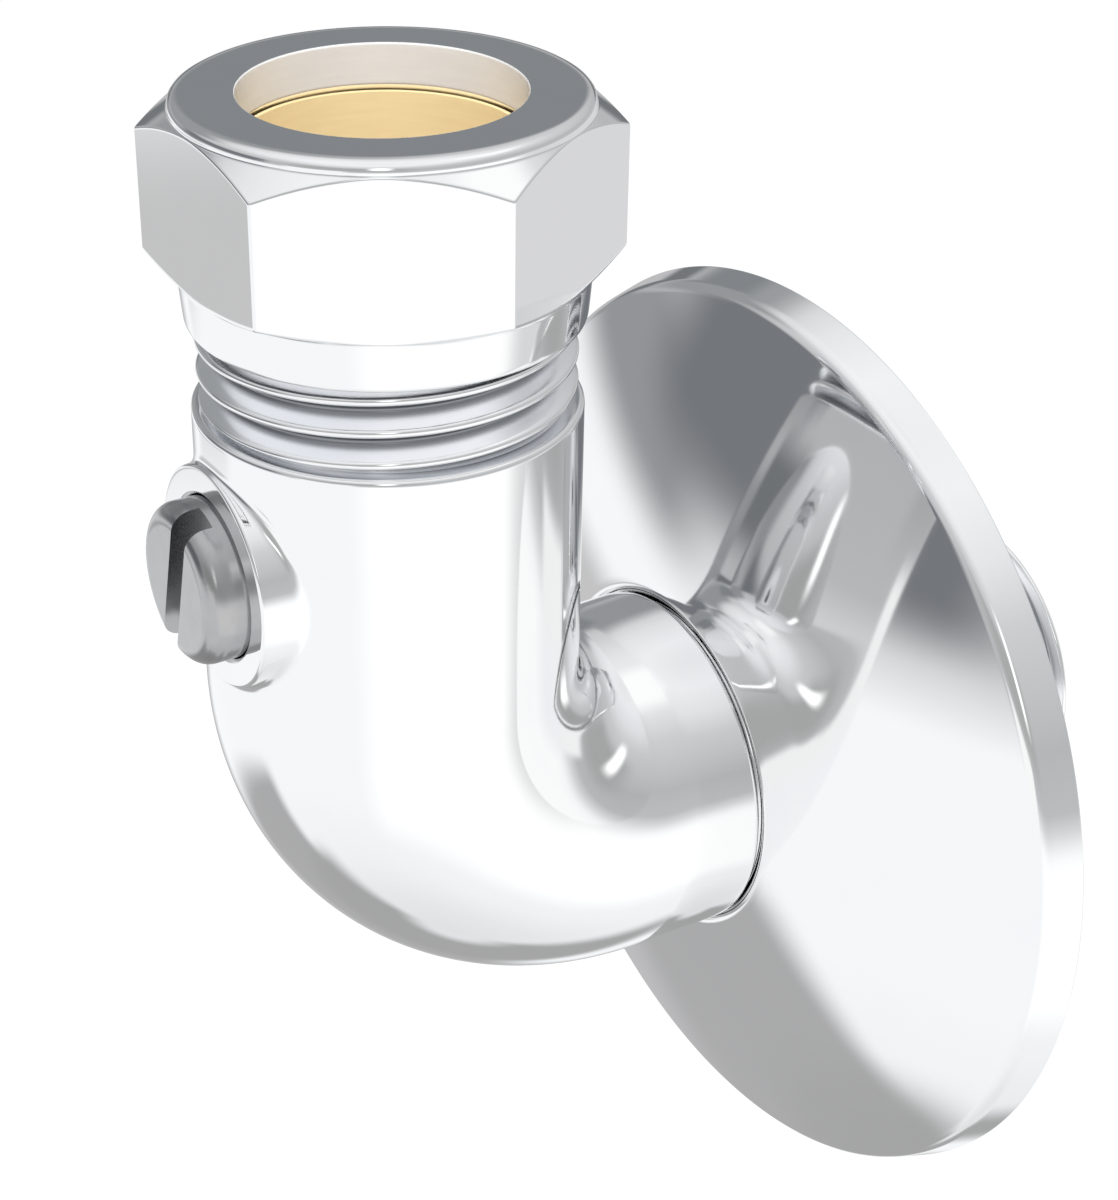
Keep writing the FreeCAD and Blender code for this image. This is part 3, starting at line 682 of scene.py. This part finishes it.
def sweep(corners, steps=5):
    """Rounds a profile of (radius, height, leg) and gives it one column."""
    corners = np.array(corners, float)
    return soften(corners[:, None, :2], corners[:, 2], steps)


def make_olive():
    """The brass ring under the nut, a cone at each end."""
    top = OLIVE_LOW_Z + OLIVE_LENGTH
    rows = sweep([
        (SOCKET_RADIUS, OLIVE_LOW_Z, 0.05),
        (OLIVE_END_RADIUS, OLIVE_LOW_Z, 0.08),
        (OLIVE_RADIUS, OLIVE_LOW_Z + OLIVE_LOW_CONE, 0.15),
        (OLIVE_RADIUS, top - OLIVE_TOP_CONE, 0.15),
        (OLIVE_END_RADIUS, top, 0.08),
        (SOCKET_RADIUS, top, 0.05),
    ])
    angle = 2 * math.pi * np.arange(OLIVE_COLUMNS) / OLIVE_COLUMNS
    return make_piece("brass_olive", turned(rows, angle), ring_faces(len(rows), OLIVE_COLUMNS),
                      "olive_ring", "olive_brass", "olive")


def open_chain(corners):
    """Rounds every corner of (radius, y, leg) but the first and last, which only give directions."""
    corners = np.array(corners, float)
    rows = soften(corners[:, None, :2], corners[:, 2], steps=6)[:, 0]
    return rows.reshape(len(corners), -1, 2)[1:-1].reshape(-1, 2)


def flange_dome():
    """The front of the bend and of the dome, each with the unit normal out of the front.

    The dome's tilt from the wall grows evenly from the hub's to the rim's, so it's an arc of
    radius run / (sin(rim tilt) - sin(hub tilt)) whose normals are (sin(tilt), -cos(tilt)).
    """
    turn = np.linspace(0, math.pi / 2 + FLANGE_HUB_TILT, FLANGE_BEND_ROWS)
    spoke = np.stack([-np.cos(turn), -np.sin(turn)], axis=1)
    bend_centre = np.array([FLANGE_COLLAR_RADIUS, FLANGE_FRONT_Y]) + FLANGE_COLLAR_BEND
    bend = bend_centre + FLANGE_COLLAR_BEND * spoke
    edge = np.array([FLANGE_FRONT_RADIUS - FLANGE_RIM_EDGE, -FLANGE_RIM_DEPTH])
    run, rise = edge - bend[-1]
    rim_tilt = 2 * math.atan2(rise, run) - FLANGE_HUB_TILT
    tilt = np.linspace(FLANGE_HUB_TILT, rim_tilt, FLANGE_DOME_ROWS)
    normals = np.stack([np.sin(tilt), -np.cos(tilt)], axis=1)
    radius = run / (math.sin(rim_tilt) - math.sin(FLANGE_HUB_TILT))
    dome = bend[-1] + radius * (normals - normals[0])
    return bend, spoke, dome, normals, rim_tilt


def flange_rows():
    """The flange's loop: collar, bend, dome and rim, then back along the rear of the sheet."""
    bend, spoke, dome, normals, rim_tilt = flange_dome()
    rear_bend = (bend - FLANGE_SHEET * spoke)[::-1]
    rear_dome = (dome - FLANGE_SHEET * normals)[::-1]
    collar_end = bend[0, 1] + FLANGE_COLLAR_LENGTH
    outer = FLANGE_COLLAR_RADIUS + FLANGE_SHEET
    collar = open_chain([
        (outer, bend[0, 1], 0),
        (outer, collar_end, 0.12),
        (FLANGE_COLLAR_RADIUS, collar_end, 0.12),
        (FLANGE_COLLAR_RADIUS, bend[0, 1], 0),
    ])
    climb = math.tan(rim_tilt)
    corner = dome[-1] + FLANGE_RIM_EDGE * np.array([1, climb])
    lean = (FLANGE_RADIUS - FLANGE_FRONT_RADIUS) / -corner[1]
    inner = FLANGE_RADIUS - FLANGE_SHEET
    rear_radius, rear_y = rear_dome[0]
    inside = (inner + lean * (rear_y - rear_radius * climb)) / (1 - lean * climb)
    rim = open_chain([
        (*(corner + RIM_LEAD * (dome[-1] - corner)), 0),
        (*corner, FLANGE_RIM_EDGE / math.cos(rim_tilt)),
        (FLANGE_RADIUS, 0, 0.12),
        (inner, 0, 0.12),
        (inside, rear_y + (inside - rear_radius) * climb, 0.1),
        (rear_radius, rear_y, 0),
    ])
    return np.concatenate([collar, bend, dome[1:-1], rim, rear_dome[:-1], rear_bend])


def make_flange():
    """The flange's loop swept round the outlet's axis."""
    rows = flange_rows()
    angle = 2 * math.pi * np.arange(FLANGE_COLUMNS) / FLANGE_COLUMNS
    radius, y = rows[:, :1], rows[:, 1:]
    points = np.stack([radius * np.sin(angle), np.broadcast_to(y, (len(rows), FLANGE_COLUMNS)),
                       radius * np.cos(angle)], axis=-1).reshape(-1, 3)
    return make_piece("dished_flange", points, ring_faces(len(rows), FLANGE_COLUMNS),
                      "flange", "flange_chrome", "wall_flange")


olive = make_olive()
flange = make_flange()

# %% [markdown]
# Plating is never quite even. In the shader, a slow noise moves the roughness and the tint by a few
# hundredths. It is worked out on Object coordinates, which are the metres of the mesh itself, so it
# stays on the metal when a piece turns.

# %% A node tree with a mottled tint
MOTTLE_DETAIL = 4.0
MOTTLE_ROUGHNESS = 0.55


def new_material(name, metallic, roughness):
    """A material with a plain shader, its node tree, and a way to add a node and set its inputs."""
    material = bpy.data.materials.new(name)
    material.use_nodes = True
    tree = material.node_tree
    shader = tree.nodes["Principled BSDF"]
    shader.inputs["Metallic"].default_value = metallic
    shader.inputs["Roughness"].default_value = roughness

    def add(kind, **inputs):
        node = tree.nodes.new(kind)
        for key, value in inputs.items():
            node.inputs[key.replace("_", " ")].default_value = value
        return node

    return material, tree, shader, add


def add_mottle(tree, add, grain, stretch=(1, 1, 1)):
    """A noise of a grain, in cycles per metre, stretched along the axes. Returns its factor socket."""
    place = add("ShaderNodeTexCoord")
    mapping = add("ShaderNodeMapping", Scale=stretch)
    noise = add("ShaderNodeTexNoise", Scale=grain, Detail=MOTTLE_DETAIL, Roughness=MOTTLE_ROUGHNESS)
    tree.links.new(place.outputs["Object"], mapping.inputs["Vector"])
    tree.links.new(mapping.outputs["Vector"], noise.inputs["Vector"])
    return noise.outputs["Fac"]


def add_tint(tree, factor, dark, light):
    """A colour from dark to light by a factor. Each end is a colour or a socket."""
    tint = tree.nodes.new("ShaderNodeMix")
    tint.data_type = "RGBA"
    for socket, colour in ((tint.inputs[6], dark), (tint.inputs[7], light)):
        if isinstance(colour, tuple):
            socket.default_value = (*colour, 1)
        else:
            tree.links.new(colour, socket)
    tree.links.new(factor, tint.inputs["Factor"])
    return tint.outputs[2]


def add_span(tree, add, factor, low, high):
    """A number from low to high by a factor."""
    span = add("ShaderNodeMapRange", To_Min=low, To_Max=high)
    tree.links.new(factor, span.inputs["Value"])
    return span.outputs["Result"]


print("node helpers ready")

# %% [markdown]
# Polished chrome is a metal with almost no roughness, so its colour is its reflection. A thread is
# cut after the polishing, and buffing wheels reach only its crests: its flanks are satin. Its root is
# painted dark as shade, where the crests beside it shade the groove. Each point of the elbow keeps how
# deep in a thread it lies, and the shader lays the satin and the painted shade over the chrome by that
# number.

# %% Polished chrome
CHROME_LIGHT = (0.945, 0.945, 0.945)
CHROME_DARK = (0.91, 0.915, 0.92)
CHROME_ROUGHNESS = (0.035, 0.07)
CHROME_GRAIN = 180.0

# The flanks' satin and the root's painted shade, laid over the chrome in that order. For each: the depth,
# as a share of the thread's, where it starts and where it is whole, then its colour and roughness.
THREAD_SATIN_AND_ROOT_SHADE = (
    (0.02, 0.2, (0.92, 0.93, 0.95), 0.22),
    # The root's dark tint is painted shade, where the crests beside it shade the groove.
    (0.6, 1.0, (0.3, 0.31, 0.33), 0.3),
)

# How far outside the outlet's bore a point lies before it can belong to the thread, in millimetres.
BORE_MARGIN = 1.0


def store_thread_depth(piece):
    """Gives each point how deep it lies in a thread, as a share of the thread's depth."""
    points = np.empty(3 * len(piece.data.vertices))
    piece.data.vertices.foreach_get("co", points)
    x, y, z = points.reshape(-1, 3).T / MM
    from_inlet = np.hypot(x, y - INLET_Y)
    from_outlet = np.hypot(x, z)
    on_inlet = (z > SHOULDER_Z) & (z < MOUTH_Z - THREAD_CHAMFER)
    on_inlet &= from_inlet > THREAD_ROOT_RADIUS - GUARD
    on_outlet = (y > SHANK_END_Y) & (y < OUTLET_END_Y - THREAD_CHAMFER)
    on_outlet &= from_outlet > OUTLET_BORE_RADIUS + BORE_MARGIN
    radius = np.where(on_inlet, from_inlet, np.where(on_outlet, from_outlet, THREAD_RADIUS))
    depth = np.clip((THREAD_RADIUS - radius) / THREAD_DEPTH, 0, 1)
    layer = piece.data.attributes.new("thread_depth", "FLOAT", "POINT")
    layer.data.foreach_set("value", depth)
    return depth.max()


def lay_by_thread_depth(tree, add, depth, under, start, whole, colour, roughness):
    """Covers the colour and roughness under it by a smooth step of the depth."""
    cover = add("ShaderNodeMapRange", From_Min=start, From_Max=whole)
    cover.interpolation_type = "SMOOTHSTEP"
    tree.links.new(depth, cover.inputs["Value"])
    dulled = add("ShaderNodeMapRange", To_Max=roughness)
    tree.links.new(cover.outputs["Result"], dulled.inputs["Value"])
    tree.links.new(under[1], dulled.inputs["To Min"])
    return add_tint(tree, cover.outputs["Result"], under[0], colour), dulled.outputs["Result"]


def make_chrome(name, threaded=False):
    """A near mirror. Where it is threaded, the flanks' satin and the painted shade in the root lie over it.
    """
    material, tree, shader, add = new_material(name, 1.0, CHROME_ROUGHNESS[0])
    mottle = add_mottle(tree, add, CHROME_GRAIN)
    colour = add_tint(tree, mottle, CHROME_DARK, CHROME_LIGHT)
    roughness = add_span(tree, add, mottle, *CHROME_ROUGHNESS)
    if threaded:
        depth = tree.nodes.new("ShaderNodeAttribute")
        depth.attribute_name = "thread_depth"
        for finish in THREAD_SATIN_AND_ROOT_SHADE:
            colour, roughness = lay_by_thread_depth(tree, add, depth.outputs["Fac"], (colour, roughness), *finish)
    tree.links.new(colour, shader.inputs["Base Color"])
    tree.links.new(roughness, shader.inputs["Roughness"])
    return material


deepest = store_thread_depth(elbow)
chrome = make_chrome("polished_chrome")
threaded_chrome = make_chrome("threaded_chrome", threaded=True)
print("chrome made, deepest thread point at", round(float(deepest), 2))

# %% [markdown]
# The spindle is plated over turned steel that was never buffed, so it is darker and a little hazy.
# The olive and the retainer are bare brass, left as the lathe left them: very fine rings run round
# the axis, so the noise is squeezed along Z, and their dull skin scatters part of the light. The
# nut's drilled bore is the same, with a paler tint. Plating doesn't reach far into a waterway, so
# inside the elbow is bare brass too, as it was cast and bored.

# %% Satin steel and turned brass
RING_SQUEEZE = (1, 1, 12)


def make_metal(name, dark, light, roughness, grain, stretch=(1, 1, 1), metallic=1.0):
    """A hazy metal whose tint and roughness follow one noise.

    A metallic share under 1 is for metal with a dull skin, which scatters part of the light.
    """
    material, tree, shader, add = new_material(name, metallic, roughness[0])
    mottle = add_mottle(tree, add, grain, stretch)
    tree.links.new(add_tint(tree, mottle, dark, light), shader.inputs["Base Color"])
    tree.links.new(add_span(tree, add, mottle, *roughness), shader.inputs["Roughness"])
    return material


satin = make_metal("satin_steel", (0.42, 0.42, 0.425), (0.54, 0.54, 0.545), (0.16, 0.26), 700.0)
brass = make_metal("turned_brass", (0.76, 0.6, 0.33), (0.84, 0.7, 0.42), (0.4, 0.5), 300.0,
                   RING_SQUEEZE, 0.35)
drilled = make_metal("drilled_bore", (0.68, 0.665, 0.65), (0.76, 0.75, 0.74), (0.35, 0.45), 300.0,
                     RING_SQUEEZE, 0.4)
bare = make_metal("bare_brass", (0.62, 0.47, 0.25), (0.74, 0.58, 0.33), (0.3, 0.42), 500.0, metallic=0.6)


def face_middles(piece):
    """The middles of the faces, as x, y and z in millimetres."""
    middles = np.empty(3 * len(piece.data.polygons))
    piece.data.polygons.foreach_get("center", middles)
    return middles.reshape(-1, 3).T / MM


def in_nut_bore(x, y, z):
    """Whether a place lies in the nut's drilled bore."""
    above_cone = z > NUT_TOP_Z - NUT_BORE_DEPTH - NUT_CONE_DEPTH
    return above_cone & (np.hypot(x, y - INLET_Y) < NUT_BORE_RADIUS + GUARD)


def in_waterway(x, y, z):
    """Whether a place is nearer the elbow's centreline than the ball chamber's wall.

    The bend's centre line runs along X. Only what lies below it and on the nut's side of it counts
    towards the arm from there, so the arm is the bend's radius all along the centreline.
    """
    arm = np.hypot(np.minimum(y - INLET_Y - BEND_RADIUS, 0), np.minimum(z - BEND_RADIUS, 0))
    return np.hypot(x, arm - BEND_RADIUS) < CHAMBER_RADIUS + GUARD


def line_inside(piece, finish, is_inside):
    """Gives the faces that lie inside a finish of their own."""
    piece.data.materials.append(finish)
    inside = is_inside(*face_middles(piece))
    piece.data.polygons.foreach_set("material_index", inside.astype(int))
    return int(inside.sum())


print("satin steel, turned and bare brass and drilled metal made")

# %% [markdown]
# The seats are a white plastic, waxy rather than glossy, and the O-rings are black rubber. Neither
# shows in the photo. Both get a fine mottle, so that they look right if the part is taken apart.

# %% Seats and rubber
def make_soft(name, dark, light, roughness, grain):
    """A plastic or rubber with a mottled tint."""
    material, tree, shader, add = new_material(name, 0.0, roughness)
    mottle = add_mottle(tree, add, grain)
    tree.links.new(add_tint(tree, mottle, dark, light), shader.inputs["Base Color"])
    return material


white_seat = make_soft("waxy_seat", (0.84, 0.84, 0.81), (0.93, 0.93, 0.9), 0.45, 900.0)
rubber = make_soft("black_rubber", (0.02, 0.02, 0.02), (0.035, 0.035, 0.035), 0.6, 1500.0)
print("seat plastic and rubber made")

# %% [markdown]
# Each piece gets its finish by name. Two have a second one for the faces inside them: the nut's
# drilled bore and the elbow's waterway.

# %% Which piece wears what
FINISHES = {
    "elbow": threaded_chrome, "hexagon_nut": chrome, "dished_flange": chrome, "ball": chrome,
    "brass_olive": brass, "seat_retainer": brass, "spindle": satin,
    "inlet_seat": white_seat, "outlet_seat": white_seat,
    "spindle_o_ring": rubber, "inlet_seat_o_ring": rubber, "outlet_seat_o_ring": rubber,
}
for piece_name, finish in FINISHES.items():
    worn = bpy.data.objects[piece_name].data.materials
    worn.clear()
    worn.append(finish)
drilled_faces = line_inside(nut, drilled, in_nut_bore)
bare_faces = line_inside(elbow, bare, in_waterway)
print("finished", len(FINISHES), "pieces, with", drilled_faces, "faces drilled and", bare_faces, "bare")

# %% [markdown]
# The camera stands where the photo was taken from: about 60 degrees round from the valve's front
# and 30 degrees above it. Its place is in metres, and its back is the direction from the object to
# the lens. The small shift only puts the object where it lies in the photo's frame.

# %% Camera
CAMERA_PLACE = (0.116511, -0.090534, 0.091355)
CAMERA_BACK = (0.73936, -0.44696, 0.50357)
CAMERA_ROLL = math.radians(0.381)
SENSOR = 36.0
LENS = 78.816
SHIFT = (0.0403, 0.0314)


def camera_pose():
    """The camera's axes as columns, right, up and back, rolled about the last, and its place."""
    back = np.array(CAMERA_BACK) / np.linalg.norm(CAMERA_BACK)
    level = np.cross((0, 0, 1), back)
    level /= np.linalg.norm(level)
    right = level * math.cos(CAMERA_ROLL) + np.cross(back, level) * math.sin(CAMERA_ROLL)
    pose = np.eye(4)
    pose[:3, :3] = np.stack([right, np.cross(back, right), back], axis=1)
    pose[:3, 3] = CAMERA_PLACE
    return Matrix(pose.tolist())


lens = bpy.data.cameras.new("camera")
lens.sensor_fit = "VERTICAL"
lens.sensor_height = SENSOR
lens.lens = LENS
lens.shift_x, lens.shift_y = SHIFT
lens.clip_start = 0.01
camera = bpy.data.objects.new("camera", lens)
bpy.context.scene.collection.objects.link(camera)
camera.matrix_world = camera_pose()
bpy.context.scene.camera = camera
print("camera", round(float(np.linalg.norm(CAMERA_PLACE)), 3), "m from the origin")

# %% [markdown]
# Chrome is photographed in a white tent, with grey cards hung round it, because the cards are what
# draws its form. Real cards would show in other views and make noise, so the tent and the cards are
# written into the world: each card is a soft-edged patch of directions. Azimuth 0 looks out from
# the object towards -Y and 90 towards +X, and elevation is up from level, all in degrees.

# %% The tent and its cards
HORIZON = [
    (-90, 0.8), (-75, 0.86), (-62, 0.95), (-45, 1.0), (-13, 1.0), (-2, 0.54), (12, 0.5), (25, 0.58),
    (40, 0.66), (55, 0.85), (72, 0.96), (90, 0.9),
]
TENT_TINT = (0.985, 1.0, 1.015)

# What the card does: azimuth, elevation, half its width and height, softness across and up, colour.
CARDS = {
    "behind, the nut's right side": (180, -25, 50, 18, 20, 10, (0.72, 0.72, 0.73)),
    "left and up, the level leg": (-88, 24, 30, 17, 20, 14, (0.32, 0.33, 0.34)),
    "left and level, the flange": (-72, -3, 26, 6, 16, 6, (0.31, 0.32, 0.33)),
    "left of front, the flange": (-32, 8, 30, 11, 14, 8, (0.185, 0.195, 0.21)),
    "left and down, the nut's left side": (-64, -22, 18, 3.5, 10, 5, (0.58, 0.58, 0.585)),
    "left and low, the flange and bend": (-78, -53, 46, 12, 12, 8, (0.43, 0.43, 0.435)),
    "below, the bend": (-100, -71, 80, 11, 30, 8, (0.4, 0.4, 0.4)),
    "behind and left, low": (-118, -22, 22, 26, 18, 12, (0.52, 0.52, 0.53)),
    "behind and up, the nut's top": (-118, 20, 14, 9, 10, 8, (0.235, 0.25, 0.265)),
    "behind and level, the nut's far corners": (-118, 1, 26, 5, 12, 5, (0.18, 0.19, 0.2)),
    "front, the leg's right edge": (26, -6, 16, 8, 8, 6, (1.0, 1.0, 1.0)),
    "behind and high, the level leg": (172, 62, 24, 9, 20, 9, (1.05, 1.05, 1.05)),
    "right of front, the nut and bend": (92, -32, 46, 20, 20, 12, (1.1, 1.1, 1.1)),
    "front and up, the flange's picture of the leg": (44, 18, 30, 12, 24, 12, (0.43, 0.43, 0.43)),
    "over the camera, a streak on the thread": (60, 27, 5, 11, 8, 12, (1.6, 1.6, 1.6)),
}

world = bpy.data.worlds.new("tent")
bpy.context.scene.world = world
world.use_nodes = True
world_tree = world.node_tree
world_tree.nodes.clear()


def world_node(kind, *inputs, **settings):
    """A node in the world's tree. Its inputs are sockets to link or values, in their order."""
    node = world_tree.nodes.new(kind)
    for key, value in settings.items():
        setattr(node, key, value)
    for socket, value in zip(node.inputs, inputs):
        if isinstance(value, bpy.types.NodeSocket):
            world_tree.links.new(value, socket)
        else:
            socket.default_value = value
    return node


def maths(operation, *inputs):
    """The output of one sum."""
    return world_node("ShaderNodeMath", *inputs, operation=operation).outputs[0]


def card_edge(distance, half, soft):
    """1 within half of the card's middle and 0 past it, with a smooth step as wide as soft."""
    edge = world_node("ShaderNodeMapRange", distance, half + soft / 2, half - soft / 2,
                      interpolation_type="SMOOTHSTEP")
    return edge.outputs["Result"]


def hang_card(colour, azimuth, elevation, card):
    """Paints one card over the colour so far."""
    middle, height, half_width, half_height, soft_across, soft_up, card_colour = card
    across = maths("ABSOLUTE", maths("WRAP", maths("SUBTRACT", azimuth, middle), 180.0, -180.0))
    up = maths("ABSOLUTE", maths("SUBTRACT", elevation, height))
    cover = maths("MULTIPLY", card_edge(across, half_width, soft_across),
                  card_edge(up, half_height, soft_up))
    return add_tint(world_tree, cover, colour, card_colour)


def tent_colour(elevation):
    """The tent's own colour by elevation alone, as a ramp."""
    share = maths("DIVIDE", maths("ADD", elevation, 90.0), 180.0)
    ramp = world_node("ShaderNodeValToRGB", share)
    elements = ramp.color_ramp.elements
    while len(elements) < len(HORIZON):
        elements.new(1.0)
    for element, (height, level) in zip(elements, HORIZON):
        element.position = (height + 90) / 180
        element.color = (*(level * part for part in TENT_TINT), 1)
    return ramp.outputs["Color"]


def make_world():
    """The direction as two angles, the tent, the cards over it, and plain white for the camera."""
    place = world_node("ShaderNodeTexCoord")
    split = world_node("ShaderNodeSeparateXYZ", place.outputs["Generated"])
    x, y, z = split.outputs
    azimuth = maths("DEGREES", maths("ARCTAN2", x, maths("MULTIPLY", y, -1.0)))
    elevation = maths("DEGREES", maths("ARCSINE", z))
    colour = tent_colour(elevation)
    for card in CARDS.values():
        colour = hang_card(colour, azimuth, elevation, card)
    tent = world_node("ShaderNodeBackground", colour)
    white = world_node("ShaderNodeBackground", (1, 1, 1, 1))
    seen = world_node("ShaderNodeLightPath").outputs["Is Camera Ray"]
    both = world_node("ShaderNodeMixShader", seen, tent.outputs[0], white.outputs[0])
    world_node("ShaderNodeOutputWorld", both.outputs[0])


make_world()
print("tent with", len(CARDS), "cards")

# %% [markdown]
# The tent's light hardly gets down the nut's bore. One soft lamp, high on the camera's side, reaches
# the far wall and the olive below it. Only matt surfaces take its light, so no mirror shows it.

# %% Lamp for the bore
LAMP_PLACE = (0.2, -0.14, 0.38)
LAMP_AIM = (0.0, -0.028, 0.045)
LAMP_SIZE = 0.05
LAMP_POWER = 3.2


def hang_lamp():
    """A round soft lamp at its place, turned so that its face looks at what it is aimed at."""
    light = bpy.data.lights.new("bore_lamp", "AREA")
    light.shape = "DISK"
    light.size = LAMP_SIZE
    light.energy = LAMP_POWER
    lamp = bpy.data.objects.new("bore_lamp", light)
    bpy.context.scene.collection.objects.link(lamp)
    lamp.location = LAMP_PLACE
    away = Vector(LAMP_PLACE) - Vector(LAMP_AIM)
    lamp.rotation_euler = away.to_track_quat("Z", "Y").to_euler()
    lamp.visible_camera = False
    lamp.visible_glossy = False
    return lamp


bore_lamp = hang_lamp()
print("lamp", round(float(np.linalg.norm(LAMP_PLACE)), 3), "m from the origin")

# %% [markdown]
# The floor is far enough below that the metal mirrors the tent and not the floor's edge. The camera
# sees it nearly white, by light of its own, with a part left to the tent's light, so that it still
# takes the object's shadow.

# %% Floor
FLOOR_Z = -0.25
FLOOR_HALF = 3.0
FLOOR_COLOUR = (0.9, 0.9, 0.9, 1)
FLOOR_GLOW = 0.8
FLOOR_LIGHT = 1.09


def floor_material():
    """Matt for the tent's light. The camera sees FLOOR_GLOW of it as even light instead."""
    material = bpy.data.materials.new("pale_floor")
    material.use_nodes = True
    tree = material.node_tree
    tree.nodes.clear()
    kinds = ("BsdfDiffuse", "Emission", "LightPath", "Math", "MixShader", "OutputMaterial")
    matt, glow, path, share, mix, output = (tree.nodes.new("ShaderNode" + kind) for kind in kinds)
    matt.inputs["Color"].default_value = FLOOR_COLOUR
    glow.inputs["Strength"].default_value = FLOOR_LIGHT
    share.operation = "MULTIPLY"
    share.inputs[1].default_value = FLOOR_GLOW
    tree.links.new(path.outputs["Is Camera Ray"], share.inputs[0])
    for source, socket in zip((share, matt, glow), mix.inputs):
        tree.links.new(source.outputs[0], socket)
    tree.links.new(mix.outputs[0], output.inputs["Surface"])
    return material


def make_floor():
    """A pale square far below. No mirror shows it."""
    mesh = bpy.data.meshes.new("floor")
    corners = FLOOR_HALF * np.array([(-1, -1), (1, -1), (1, 1), (-1, 1)])
    points = np.column_stack([corners, np.full(4, FLOOR_Z)])
    mesh.from_pydata(points.tolist(), [], [(0, 1, 2, 3)])
    mesh.materials.append(floor_material())
    floor = bpy.data.objects.new("floor", mesh)
    bpy.context.scene.collection.objects.link(floor)
    floor.visible_glossy = False
    return floor


floor = make_floor()
print("floor", -FLOOR_Z, "m below the outlet's axis")

# %% [markdown]
# Standard view transform shows each colour as it is written. The CAD solids are kept in the scene, hidden.

# %% Close
bpy.context.scene.view_settings.view_transform = "Standard"
